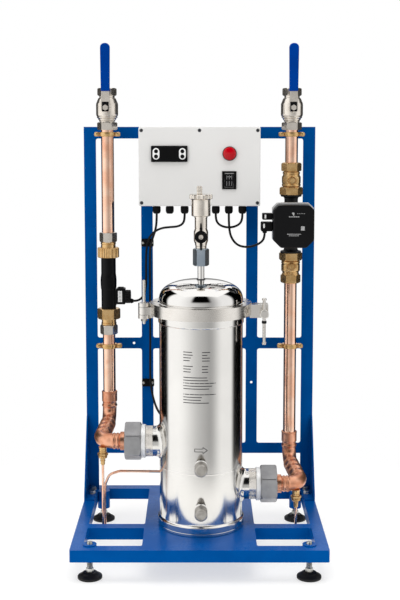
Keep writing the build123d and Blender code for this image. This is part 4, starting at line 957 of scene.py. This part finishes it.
def plug_point(inward, back, height):
    """A point in millimetres from the plugs' right side and from the middle of their depth, at a height."""
    return plugs_high[0] - inward * MM, plug_middle_y + back * MM, height * MM


plug_parts = [
    plate(rectangle(22.0, 14.0), 2.0, 20.0, 1.0, plug_point(11.0, 10.0, 714.0)),
    plate(rectangle(9.0, 10.0), 1.5, 21.6, 0.8, plug_point(3.6, 10.8, 714.0)),
    plate(rectangle(25.0, 20.0), 2.4, 24.0, 1.2, plug_point(12.5, 12.0, 692.0)),
    plate(rectangle(8.0, 16.0), 1.5, 23.0, 0.8, plug_point(3.2, 11.6, 693.0)),
    turned([(-2.5, 3.6), (-2.2, 4.6), (4.0, 5.6), (7.0, 5.8)], (142 * MM, 118 * MM, 680 * MM), UP, 32)]
place(build("pump_connectors", plug_parts), "pump_plugs")
# The two small white plates on the plugs' fronts are a painted highlight, where a bright gap shows on the
# black plugs.
plug_gap_highlights = [plate(rectangle(3.6, 8.6), 1.0, 1.0, 0.4, plug_point(15.6, -9.4, 714.0)),
           plate(rectangle(3.6, 9.6), 1.0, 1.0, 0.4, plug_point(18.6, -11.4, 694.0))]
place(build("pump_plug_gap_highlights", plug_gap_highlights), slot="white_plastic")

# %% [markdown]
# ## Pump valves
#
# A brass isolating valve joins each side of the pump: a union nut on the pump's
# flange, a cast body with a slotted spindle in a round boss, and a compression
# nut on the copper. Both valves use the same profiles, the lower one turned
# over. The slotted spindles are CAD parts and turn on their own bodies.

# %% Isolating valves
pump_top, pump_bottom = high_of("pump_volute")[2], low_of("pump_volute")[2]
valve_high, valve_low = high_of("pump_valves")[2], low_of("pump_valves")[2]
union = [(-0.6, 22.0), (-0.2, 24.6), (1.2, 25.9), (13.4, 25.9), (15.4, 24.8), (16.8, 22.6), (17.0, 18.2)]
cast_body = [(16.0, 17.2), (18.0, 19.4), (19.0, 20.6), (22.4, 21.0), (23.6, 20.2), (25.0, 20.0),
             (26.2, 20.8), (39.0, 20.8), (41.0, 19.8), (42.4, 18.6), (45.6, 18.2), (46.4, 19.2),
             (49.4, 19.2), (50.4, 17.6), (53.0, 16.8)]
valve_parts = []
for start, end, spindle_node, way in ((pump_top, valve_high, "upper_valve_spindle", UP),
                                      (pump_bottom, valve_low, "lower_valve_spindle", DOWN)):
    origin = np.array((riser_x, riser_y, start))
    length = abs(end - start) / MM
    nut = [(length - 19.4, 17.4), (length - 19.0, 20.6), (length - 17.6, 22.4), (length - 3.4, 22.5),
           (length - 1.4, 21.0), (length, 17.4), (length, 15.6)]
    valve_parts += [turned(union, origin, way, 96, across=45.0), turned(cast_body, origin, way, 64),
                    turned(nut, origin, way, 72, across=39.0)]
    spindle_z = middle_of(spindle_node)[2]
    boss_at = np.array((riser_x, riser_y, spindle_z))
    boss = [(14.0, 11.5), (18.0, 10.4), (20.0, 9.2), (24.6, 8.6), (25.6, 8.0), (25.8, 7.0), (24.8, 6.4),
            (24.6, 4.7)]
    valve_parts.append(turned(boss, boss_at, FRONT, 40))
    collar_ring = [(9.0, 14.2), (17.6, 13.4), (18.4, 12.6), (18.4, 10.0)]
    valve_parts.append(turned(collar_ring, boss_at, FRONT, 40))
place(build("pump_isolating_valves", valve_parts, 26.0), "pump_valves")
GASKET = 2.4
gasket = [(-0.8, 15.4), (-0.8, 22.6), (0.0, 23.2), (GASKET, 23.2), (GASKET, 15.4)]
gaskets = [turned(gasket, (riser_x, riser_y, seat), way, 56, ring=True)
           for seat, way in ((pump_top - GASKET * MM, UP), (pump_bottom + GASKET * MM, DOWN))]
place(build("pump_gaskets", gaskets), slot="gasket_rubber")
print("pump ports apart", round((pump_top - pump_bottom) / MM, 1), "mm")

# %% [markdown]
# ## Control box
#
# The box and its lid are moulded in light grey, with a shadow line between
# them. Both are rounded rectangles pushed out along the depth, with an eased
# rim. The controller, the lamp and the rocker switch stand a few millimetres
# proud of the lid.

# %% Box, lid and lid screws
box_low, box_high = low_of("control_box"), high_of("control_box")
lid_front, lid_back = low_of("control_box_lid")[1], high_of("control_box_lid")[1]
box_middle = (box_low + box_high) / 2
box_size = (box_high - box_low) / MM
case_plan = rectangle(box_size[0] - 1.0, box_size[2] - 1.0)
case = plate(case_plan, 3.0, box_size[1] - 0.2, 0.8, (box_middle[0], box_high[1], box_middle[2]))
place(build("box_case", [case]), "control_box")
lid_depth = (lid_back - lid_front) / MM
lid = plate(rectangle(box_size[0], box_size[2]), 3.4, lid_depth - 0.4, 1.1,
            (box_middle[0], lid_back - 0.4 * MM, box_middle[2]))
place(build("box_lid", [lid]), "control_box_lid")

SCREW_R = 3.9
screws_low, screws_high = low_of("lid_screws"), high_of("lid_screws")
screw_xs = (screws_low[0] + SCREW_R * MM, box_middle[0], screws_high[0] - SCREW_R * MM)
screw_zs = (screws_low[2] + SCREW_R * MM, screws_high[2] - SCREW_R * MM)
screw_parts, cross_shade_parts = [], []
for screw_x in screw_xs:
    for screw_z in screw_zs:
        at = np.array((screw_x, lid_front, screw_z))
        screw_parts.append(turned([(-1.0, 3.6), (0.1, 3.9), (0.4, 3.5), (0.5, 2.6)], at, FRONT, 32))
        # Each screw's cross recess is painted shade: two thin black plates standing just proud of the head.
        for width, height in ((4.4, 0.9), (0.9, 4.4)):
            cross_shade_parts.append(plate(rectangle(width, height), 0.2, 0.3, 0.05, at + FRONT * 0.25 * MM))
place(build("box_screws", screw_parts), "lid_screws", finish="dark_screw")
place(build("box_screw_cross_shade", cross_shade_parts), slot="gasket_rubber")

# %% Controller and its keys
unit_low, unit_high = low_of("controller"), high_of("controller")
unit_middle = (unit_low + unit_high) / 2
unit_size = (unit_high - unit_low) / MM
bezel = plate(rectangle(unit_size[0], unit_size[2]), 2.2, 4.6, 1.0,
              (unit_middle[0], lid_front, unit_middle[2]))
back = plate(rectangle(70.0, 28.0), 1.0, 46.0, 0.5, (unit_middle[0], lid_front + 46.6 * MM, unit_middle[2]))
place(build("controller_case", [bezel, back]), "controller")
window = plate(rectangle(36.0, 25.0), 1.4, 0.35, 0.15,
               (unit_middle[0], lid_front - 4.4 * MM, unit_middle[2]))
place(build("controller_window", [window]), slot="black_plastic", finish="dark_glass")
for key_node in ("left_key", "right_key"):
    key_low, key_high = low_of(key_node), high_of(key_node)
    key_middle = (key_low + key_high) / 2
    key_back = np.array((key_middle[0], key_high[1], key_middle[2]))
    depth = (key_high[1] - key_low[1]) / MM
    oval = plate(rectangle(14.8, 24.8), 7.35, depth - 0.6, 1.0, key_back)
    place(build(key_node + "_oval", [oval]), key_node, slot="white_plastic")
    dots = [turned([(0.0, 4.4), (0.5, 4.2), (0.8, 3.4), (0.9, 1.6)],
                   (key_middle[0], key_back[1] - (depth - 0.8) * MM, key_middle[2] + z * MM), FRONT, 32)
            for z in (-5.6, 5.6)]
    place(build(key_node + "_buttons", dots), body=body_of[key_node], slot="black_plastic")

# %% Alarm lamp
lamp_middle = middle_of("alarm_lamp")
lamp_seat = np.array((lamp_middle[0], lid_front, lamp_middle[2]))
seat_ring = [(-1.0, 13.0), (0.0, 15.0), (0.3, 15.5), (1.6, 15.5), (2.0, 15.1)]
lens = [(1.4, 13.6), (3.4, 14.1), (5.2, 13.9), (5.8, 13.5), (6.4, 13.0), (7.0, 11.6), (7.5, 9.6),
        (8.0, 7.4), (8.5, 5.0), (8.8, 2.6), (8.9, 0.8)]
place(build("lamp_lens", [turned(lens, lamp_seat, FRONT, 96, flutes=(32, 0.022))], 50.0), "alarm_lamp")
place(build("lamp_seat_ring", [turned(seat_ring, lamp_seat, FRONT, 64)]),
      slot="red_lens", finish="lamp_rim")
barrel_back = turned([(-25.0, 10.4), (-24.6, 11.0), (0.4, 11.0), (0.5, 10.0)], lamp_seat, FRONT, 40)
place(build("lamp_barrel", [barrel_back]), slot="black_plastic")

# %% Rocker switch
place(softened("switch_frame", "rocker_frame", 0.5), "rocker_frame")
place(softened("switch_rocker", "rocker", 0.6), "rocker")
rocker_at = middle_of("rocker")
rocker_corners, rocker_faces = faces_of(nodes["rocker"].data)
rocker_tree = BVHTree.FromPolygons(rocker_corners.tolist(), [face[0].tolist() for face in rocker_faces])


def on_rocker(x, z):
    """The point where a straight line from the front meets the CAD rocker's face."""
    start = (rocker_at[0] + x * MM, -0.2, rocker_at[2] + z * MM)
    return np.array(rocker_tree.ray_cast(start, tuple(REAR))[0])


rib_parts = [swept(np.array([on_rocker(x, z) for z in ends]), 0.55 * MM, 10)
             for x in (-5.4, 0.0, 5.4) for ends in (np.linspace(2.4, 11.4, 6), np.linspace(-11.6, -1.6, 6))]
place(build("rocker_ribs", rib_parts), body=body_of["rocker"], slot="black_plastic", finish="cast_nut_grey")
rocker_dots = [swept(np.array([on_rocker(x - 0.9, 8.0), on_rocker(x + 0.9, 8.0)]), 0.75 * MM, 10)
               for x in (-2.7, 2.7)]
place(build("rocker_dots", rocker_dots), body=body_of["rocker"], slot="black_plastic", finish="print_white")
print("box", np.round(box_size), "lamp at", np.round(lamp_seat, 3))

# %% [markdown]
# ## Cable glands
#
# Under the box hang six nylon glands. Each has a flange against the box, a
# waist, and a ribbed dome nut that squeezes a seal on the cable. The ribs are a
# wave in the radius round the axis.

# %% Glands
glands_low, glands_high = low_of("cable_glands"), high_of("cable_glands")
gland_y = (glands_low[1] + glands_high[1]) / 2
GLAND_XS = (-95.0, -66.0, -33.0, 36.0, 65.0, 95.0)
flange = [(15.4, 6.6), (16.2, 6.4), (16.4, 8.6), (17.0, 9.0), (19.6, 9.0), (20.0, 8.8)]
dome_nut = [(0.0, 3.0), (0.0, 5.4), (0.7, 6.6), (2.2, 7.8), (4.2, 8.7), (6.4, 9.0), (14.0, 9.0),
            (15.2, 8.6), (15.8, 7.4), (15.8, 6.2)]
shank = [(19.8, 5.9), (30.0, 5.9)]
gland_parts = []
for gland_x in GLAND_XS:
    at = np.array((gland_x * MM, gland_y, glands_low[2]))
    gland_parts += [turned(dome_nut, at, UP, 96, flutes=(16, 0.07)), turned(flange, at, UP, 40),
                    turned(shank, at, UP, 24)]
place(build("nylon_glands", gland_parts), "cable_glands")
print("glands", len(GLAND_XS))

# %% Cable mounts and the probe's head
mount_parts, mount_screws = [], []
for height in (646.0, 323.0):
    at = np.array((-118.0, 213.8, height)) * MM
    mount_parts.append(plate(rectangle(28.0, 18.0), 3.0, 4.4, 1.0, at))
    mount_parts.append(plate(rectangle(12.0, 10.0), 2.0, 9.4, 1.0, at))
    for ear in (-10.2, 10.2):
        head = [(4.2, 3.0), (4.5, 3.2), (5.6, 2.8), (6.1, 1.6)]
        mount_screws.append(turned(head, at + RIGHT * ear * MM, FRONT, 24))
probe_at = np.array((vessel_x, 0.0, PROBE_Z * MM)) + probe_way * NECK_REACH * MM
probe_head = [(0.0, 8.2), (0.4, 9.0), (11.0, 9.0), (12.0, 8.6), (15.0, 6.6), (17.4, 4.4), (18.0, 3.2)]
mount_parts.append(turned(probe_head, probe_at, probe_way, 72, flutes=(12, 0.06)))
place(build("cable_mounts", mount_parts), "cable_clips")
place(build("cable_mount_screws", mount_screws), slot="zinc_steel")

# %% [markdown]
# ## Air vent
#
# Air collects under the lid and leaves through the vent: a steel coupling, a
# small ball valve with a black handle, and a plated float chamber under a
# scalloped cap. The cap's scallops are a deep wave round the axis.

# %% Coupling and vent valve
coupling_foot = np.array((vessel_x, 0.0, low_of("vent_coupling")[2]))
coupling = [(0.0, 8.0), (0.0, 14.2), (0.8, 15.6), (2.4, 17.0), (33.6, 17.0), (35.2, 15.6), (36.0, 14.0),
            (36.0, 8.0)]
hex_coupling = build("vent_hex_coupling", [turned(coupling, coupling_foot, UP, 96, across=29.5)], 24.0)
place(hex_coupling, "vent_coupling", finish="blue_steel")
valve_foot = np.array((vessel_x, 0.0, low_of("vent_valve")[2]))
vent_body_profile = [(-0.4, 9.6), (0.0, 11.2), (3.6, 11.8), (4.6, 11.0), (6.0, 12.0), (9.6, 12.6),
                     (12.0, 13.4), (15.0, 14.6), (17.5, 15.0), (34.5, 15.0), (37.0, 14.4), (40.0, 13.2),
                     (42.0, 12.6), (43.0, 13.0), (63.0, 13.0), (64.0, 13.6), (66.6, 13.6), (67.2, 12.8)]
stem_z = middle_of("vent_handle")[2]
stem_at = np.array((vessel_x, 0.0, stem_z))
stem_boss = [(11.0, 8.0), (14.6, 7.4), (15.4, 6.4), (18.6, 6.0), (19.0, 5.4)]
vent_valve_parts = [turned(vent_body_profile, valve_foot, UP, 72), turned(stem_boss, stem_at, FRONT, 40)]
place(build("vent_ball_valve", vent_valve_parts), "vent_valve")

# %% Vent handle
handle_disc = [(19.6, 12.0), (19.9, 12.8), (20.6, 13.0), (23.4, 13.0), (24.6, 12.2), (25.0, 10.6),
               (24.4, 8.0), (24.2, 5.6)]
needle_plan = [(-1.7, -28.0), (1.7, -28.0), (3.2, -6.0), (3.2, 6.0), (1.6, 28.0), (-1.6, 28.0), (-3.2, 6.0),
               (-3.2, -6.0)]
needle = plate(needle_plan, (1.4, 1.4, 1.0, 1.0, 1.4, 1.4, 1.0, 1.0), 2.6, 0.6, stem_at + FRONT * 20.0 * MM)
place(build("vent_black_handle", [turned(handle_disc, stem_at, FRONT, 48), needle]), "vent_handle")
button = [(23.0, 5.2), (25.0, 5.2), (25.8, 4.6), (26.0, 3.4), (25.6, 2.2), (24.4, 2.0)]
place(build("vent_handle_screw", [turned(button, stem_at, FRONT, 32)]),
      body=body_of["vent_handle"], slot="nickel")

# %% Float chamber and cap
chamber_foot = np.array((vessel_x, 0.0, low_of("vent_body")[2]))
chamber = [(0.0, 12.4), (0.2, 17.6), (1.0, 19.2), (2.0, 19.75), (33.0, 19.75), (34.6, 19.9), (35.4, 20.8),
           (36.0, 21.6), (36.0, 16.6), (43.6, 16.6)]
cap = [(44.2, 17.6), (36.4, 17.6), (35.8, 18.4), (35.8, 21.0), (36.2, 23.2), (37.4, 24.5), (44.0, 24.5),
       (45.4, 23.4), (46.0, 21.0), (46.0, 6.0)]
bleed = [(45.8, 5.6), (46.6, 5.9), (52.0, 5.9), (52.6, 5.0), (53.2, 5.9), (61.0, 5.8), (62.4, 5.0),
         (63.0, 3.6)]
bleed_at = chamber_foot + LEFT * 3.0 * MM
chamber_parts = [turned(chamber, chamber_foot, UP, 72),
                 turned(cap, chamber_foot, UP, 144, flutes=(12, 0.11)),
                 turned(bleed, bleed_at, UP, 72, flutes=(14, 0.12))]
place(build("vent_float_chamber", chamber_parts, 40.0), "vent_body")
print("vent top", round(high_of("vent_body")[2], 4))

# %% [markdown]
# ## Finishes
#
# A finish is a node tree, but it reads better as sums. The class below wraps a
# socket, so that 1 - mask or a + b adds a Math node by itself. A board makes
# any other node: its settings are set first, then its sockets. Patterns read
# Object coordinates, which here are metres from the middle of the floor, so a
# grain has the same size on every piece.

# %% Shader sums
class Reading:
    """A number, colour or vector that comes out of a node, ready for arithmetic."""

    def __init__(self, board, socket):
        self.board, self.socket = board, socket

    def sum_with(self, operation, other, swapped=False):
        first, second = (other, self) if swapped else (self, other)
        return self.board.node("Math", {"operation": operation}, {0: first, 1: second})

    def __add__(self, other):
        return self.sum_with("ADD", other)

    def __radd__(self, other):
        return self.sum_with("ADD", other, True)

    def __sub__(self, other):
        return self.sum_with("SUBTRACT", other)

    def __rsub__(self, other):
        return self.sum_with("SUBTRACT", other, True)

    def __mul__(self, other):
        return self.sum_with("MULTIPLY", other)

    def __rmul__(self, other):
        return self.sum_with("MULTIPLY", other, True)


class Board:
    """One node tree, and the one way to add a node to it."""

    def __init__(self, tree):
        self.tree = tree

    def node(self, kind, settings=None, sockets=None, output=0):
        """Add a node of a type, set its settings, then give its sockets values or links."""
        made = self.tree.nodes.new("ShaderNode" + kind)
        for name, value in (settings or {}).items():
            setattr(made, name, value)
        for name, value in (sockets or {}).items():
            self.join(value, made.inputs[name])
        return Reading(self, made.outputs[output])

    def join(self, value, socket):
        """Link a reading to a socket, or set the socket to a plain value."""
        if isinstance(value, Reading):
            self.tree.links.new(value.socket, socket)
        else:
            socket.default_value = value

    def blend(self, share, first, second):
        """A colour between two colours."""
        return self.node("Mix", {"data_type": "RGBA"}, {0: share, 6: first, 7: second}, 2)

    def step(self, value, low, high, to_low=0.0, to_high=1.0):
        """A reading carried from one range to another, and held at its ends."""
        return self.node("MapRange", {"interpolation_type": "SMOOTHSTEP"},
                         {"Value": value, "From Min": low, "From Max": high,
                          "To Min": to_low, "To Max": to_high})

    def noise(self, scale, stretch=(1.0, 1.0, 1.0), detail=3.0):
        """Noise on Object coordinates, in features per metre, stretched by a scale for each axis."""
        where = self.node("TexCoord", output="Object")
        stretched = self.node("Mapping", None, {"Vector": where, "Scale": stretch})
        return self.node("TexNoise", None, {"Vector": stretched, "Scale": scale, "Detail": detail}, "Fac")


def paint(code):
    """A screen colour like #0048A0 as the linear colour that a shader takes."""
    channels = np.array([int(code[first:first + 2], 16) for first in (1, 3, 5)]) / 255.0
    linear = np.where(channels <= 0.04045, channels / 12.92, ((channels + 0.055) / 1.055) ** 2.4)
    return (*linear.tolist(), 1.0)


# %% [markdown]
# ## One recipe, many finishes
#
# Every finish here has the same three layers: a slow mottling between two
# colours, a finer grain that varies the gloss, and a bump from the same grain.
# What differs is the size, the stretch and the strength. Drawn copper and
# polished steel have a grain stretched along one axis, cast brass has a coarse
# round one, and powder coat has a shallow orange peel.

# %% Mix the finishes
def finish(name, light, dark, metallic, gloss, grain, bump, mottle=14.0, stretch=(1.0, 1.0, 1.0), **fixed):
    """light and dark are the mottling's colours, gloss the lowest and highest roughness, grain the grain's
    scale in features per metre, and bump its depth in millimetres."""
    material = materials[name]
    material.use_nodes = True
    board = Board(material.node_tree)
    shader = material.node_tree.nodes["Principled BSDF"]
    patches = board.step(board.noise(mottle, detail=4.0), 0.35, 0.65)
    fine = board.noise(grain, stretch, 4.0)
    tint = board.blend(patches * 0.8 + fine * 0.2, paint(light), paint(dark))
    board.join(tint, shader.inputs["Base Color"])
    board.join(board.step(0.7 * fine + 0.3 * patches, 0.3, 0.7, *gloss), shader.inputs["Roughness"])
    shader.inputs["Metallic"].default_value = metallic
    height = board.node("Bump", None, {"Height": fine, "Strength": 1.0, "Distance": bump * MM}, "Normal")
    board.join(height, shader.inputs["Normal"])
    for socket, value in fixed.items():
        shader.inputs[socket.replace("_", " ")].default_value = value
    return board, shader


ALONG_Z = (1.0, 1.0, 0.02)
BLUE_SHEEN = (0.02, 0.3, 1.0, 1.0)
finish("blue_powder_coat", "#00529E", "#004B94", 0.0, (0.26, 0.34), 620.0, 0.012, Specular_Tint=BLUE_SHEEN,
       Specular_IOR_Level=0.12)
finish("blue_sleeve", "#00368C", "#003080", 0.0, (0.3, 0.42), 500.0, 0.02, Specular_Tint=BLUE_SHEEN)
finish("zinc_steel", "#D4D5D2", "#BDBBB0", 1.0, (0.26, 0.42), 420.0, 0.012, mottle=60.0)
finish("foot_rubber", "#0C0C0E", "#070708", 0.0, (0.42, 0.6), 700.0, 0.03, Specular_IOR_Level=0.35)
finish("polished_stainless", "#E8E6E2", "#E1DFDB", 1.0, (0.12, 0.17), 520.0, 0.001, stretch=ALONG_Z,
       mottle=8.0)
finish("mirror_steel", "#EAE8E5", "#E4E2DF", 1.0, (0.04, 0.07), 500.0, 0.0005, mottle=9.0)
finish("satin_stainless", "#EBE7E1", "#DFDAD3", 1.0, (0.2, 0.28), 480.0, 0.003, stretch=(0.25, 0.25, 1.0))
finish("ground_steel", "#B4B0AA", "#9A968F", 0.7, (0.4, 0.55), 700.0, 0.03, mottle=90.0)
finish("pale_seal", "#F8F8F7", "#EFEFEE", 0.3, (0.35, 0.45), 500.0, 0.004)
finish("etched_steel", "#2E2E31", "#222225", 0.1, (0.5, 0.65), 600.0, 0.01)
finish("gasket_rubber", "#0D0D0E", "#08080A", 0.0, (0.5, 0.65), 500.0, 0.02, Specular_IOR_Level=0.3)
finish("cast_nut_grey", "#A9A9AA", "#98989A", 0.88, (0.32, 0.42), 520.0, 0.02, mottle=40.0)
finish("brass", "#E0BC86", "#CCA268", 0.92, (0.2, 0.32), 430.0, 0.012, mottle=70.0)
finish("nickel", "#E8E1D7", "#DAD2C7", 0.92, (0.12, 0.22), 380.0, 0.006, mottle=45.0)
finish("blue_steel", "#BFCBD6", "#9FAEBC", 1.0, (0.26, 0.36), 420.0, 0.01)
finish("silver_casting", "#E4E4E4", "#D5D5D5", 0.9, (0.3, 0.42), 500.0, 0.03)
finish("black_plastic", "#08080A", "#050506", 0.0, (0.32, 0.44), 800.0, 0.012, Specular_IOR_Level=0.14)
finish("white_plastic", "#EDEDEC", "#E2E2E1", 0.0, (0.36, 0.46), 600.0, 0.01)
finish("box_grey", "#DEDDDB", "#DAD9D7", 0.0, (0.4, 0.5), 900.0, 0.008, mottle=5.0)
finish("pump_black", "#09090B", "#060608", 0.0, (0.28, 0.4), 900.0, 0.012, Specular_IOR_Level=0.2)
finish("cast_black", "#0E0E0F", "#080809", 0.1, (0.42, 0.56), 420.0, 0.08, Specular_IOR_Level=0.4)
finish("cable_black", "#09090A", "#060607", 0.0, (0.34, 0.48), 600.0, 0.012, Specular_IOR_Level=0.25)
finish("print_white", "#E4E4E4", "#D6D6D6", 0.0, (0.4, 0.5), 600.0, 0.004)
finish("dark_screw", "#55565A", "#46474B", 0.6, (0.34, 0.46), 500.0, 0.01)
finish("dark_glass", "#030304", "#020203", 0.0, (0.05, 0.1), 300.0, 0.0, Specular_IOR_Level=0.14)
finish("red_lens", "#C40016", "#A80010", 0.0, (0.1, 0.18), 400.0, 0.004, Specular_IOR_Level=0.4)
finish("heated_copper", "#F0B494", "#D48F6C", 1.0, (0.32, 0.44), 300.0, 0.01, mottle=48.0)
finish("lamp_rim", "#4A0309", "#380206", 0.0, (0.2, 0.3), 400.0, 0.004, Specular_IOR_Level=0.3)

# %% [markdown]
# ## Copper, with its tarnish
#
# New copper tube is bright and pink, and every fitting that met a torch is a
# little redder and darker, so the fittings have a finish of their own above.
# The recipe gives the drawn tube its grain along the pipe, and a second noise
# lays patches of a darker bloom over it.

# %% Copper
copper_board, copper_shader = finish("copper", "#FFD8BF", "#F6BE9F", 1.0, (0.15, 0.22), 460.0, 0.004,
                                     stretch=ALONG_Z, mottle=26.0)
bloom = copper_board.step(copper_board.noise(34.0, (1.0, 1.0, 0.6), 5.0), 0.5, 0.72)
bright = copper_shader.inputs["Base Color"].links[0].from_socket
copper_board.join(copper_board.blend(bloom * 0.5, Reading(copper_board, bright), paint("#DE9C7C")),
                  copper_shader.inputs["Base Color"])

# %% Finish the CAD parts that stay in view
for node, cad_object in nodes.items():
    cad_object.data.materials.clear()
    cad_object.data.materials.append(materials[slot_of[node]])
print("finishes", len(materials))

# %% [markdown]
# ## The studio
#
# Polished metal looks like whatever stands round it, so the studio is part of
# the finish. The world is a set of panels by direction: dim where the camera
# stands, bright walls at both sides, black flags behind them, a narrow wall at
# the back, and a white ceiling that starts a little in front of overhead and
# runs down to the back. The flags make the dark upright edges on the vessel and
# on the lid, and the gap in front, below the ceiling, is the short dark bar
# across the lid. The camera itself sees plain white.
#
# Three area lights shade the paint and the plastic. They are hidden from glossy
# reflections, so no lamp shows in the metal. The floor is a flat disc that takes
# the soft shadow under the skid and fades out towards its rim.

# %% World by direction
world = bpy.data.worlds.new("studio")
world.use_nodes = True
scene.world = world
sky = Board(world.node_tree)
direction = sky.node("TexCoord", output="Generated")
parts = {axis: sky.node("SeparateXYZ", None, {"Vector": direction}, axis) for axis in "XYZ"}
compass = sky.node("Math", {"operation": "ARCTAN2"}, {0: parts["X"], 1: 0.0 - parts["Y"]}) * (180.0 / np.pi)
aside = sky.node("Math", {"operation": "ABSOLUTE"}, {0: compass})
across = sky.node("Math", {"operation": "ABSOLUTE"}, {0: parts["X"]})
dim_front = sky.step(compass, -70.0, 12.0) * sky.step(compass, 62.0, 20.0)
side_walls = 1.2 - 0.18 * sky.step(compass, 0.0, 40.0) - 0.66 * dim_front
side_walls = side_walls * sky.step(compass, 104.0, 90.0) * sky.step(compass, -110.0, -97.0)
front_gap = sky.step(parts["Z"], 0.04, 0.3) * sky.step(aside, 32.0, 20.0)
back_wall = (0.25 + 0.85 * sky.step(parts["Z"], 0.1, 0.2)) * sky.step(aside, 158.0, 168.0)
ceiling = sky.step(across - 0.85 * parts["Z"], 0.04, -0.04)
ceiling = ceiling * sky.step(parts["Y"] + 0.5 * parts["Z"], -0.05, 0.05)
ceiling = ceiling * sky.step(parts["Z"], 0.25, 0.5)
panels = side_walls * (1.0 - front_gap) + back_wall
surroundings = panels * (1.0 - ceiling) + 1.25 * ceiling
is_camera = sky.node("LightPath", output="Is Camera Ray")
seen = is_camera + (1.0 - is_camera) * surroundings
background = world.node_tree.nodes["Background"]
sky.join(seen, background.inputs["Strength"])
background.inputs["Color"].default_value = (1.0, 1.0, 1.0, 1.0)

# %% Lights and floor
def softbox_light(name, at, aim, width, height, power):
    """A rectangular light at a point, turned to face another point."""
    lamp = bpy.data.lights.new(name, "AREA")
    lamp.shape, lamp.size, lamp.size_y, lamp.energy = "RECTANGLE", width, height, power
    holder = bpy.data.objects.new(name, lamp)
    scene.collection.objects.link(holder)
    holder.location = at
    holder.rotation_euler = (Vector(aim) - Vector(at)).to_track_quat("-Z", "Y").to_euler()
    holder.visible_glossy = False
    return holder


softbox_light("top_light", (0.0, -0.5, 2.6), (0.0, 0.05, 0.3), 1.6, 1.2, 24.0)
softbox_light("left_light", (-1.9, -1.7, 1.3), (0.0, 0.1, 0.5), 0.8, 1.6, 13.0)
softbox_light("right_light", (1.9, -1.7, 1.3), (0.0, 0.1, 0.5), 0.8, 1.6, 10.0)

FLOOR_R = 0.85
ring_radius = np.linspace(0.05, FLOOR_R, 12)[:, None]
ring_angle = np.linspace(0.0, 2 * np.pi, 64, endpoint=False)[None]
floor_grid = np.stack([ring_radius * np.cos(ring_angle), ring_radius * np.sin(ring_angle),
                       np.full((12, 64), -0.0005)], axis=-1)[::-1]
floor = build("floor", [skin(floor_grid, start="open")])
floor_material = bpy.data.materials.new("white_floor")
floor_material.use_nodes = True
floor_board = Board(floor_material.node_tree)
floor_shader = floor_material.node_tree.nodes["Principled BSDF"]
floor_place = floor_board.node("TexCoord", output="Object")
from_middle = floor_board.node("VectorMath", {"operation": "LENGTH"}, {0: floor_place}, "Value")
floor_board.join(floor_board.step(from_middle, FLOOR_R, 0.55 * FLOOR_R), floor_shader.inputs["Alpha"])
floor_shader.inputs["Base Color"].default_value = (0.4, 0.395, 0.38, 1.0)
floor_shader.inputs["Roughness"].default_value = 0.6
floor_shader.inputs["Emission Color"].default_value = (1.0, 1.0, 1.0, 1.0)
floor_shader.inputs["Emission Strength"].default_value = 0.62
floor.data.materials.append(floor_material)
scene.view_settings.view_transform = "Standard"
scene.view_settings.look = "None"
print("floor across", round(2 * FLOOR_R, 2), "m")
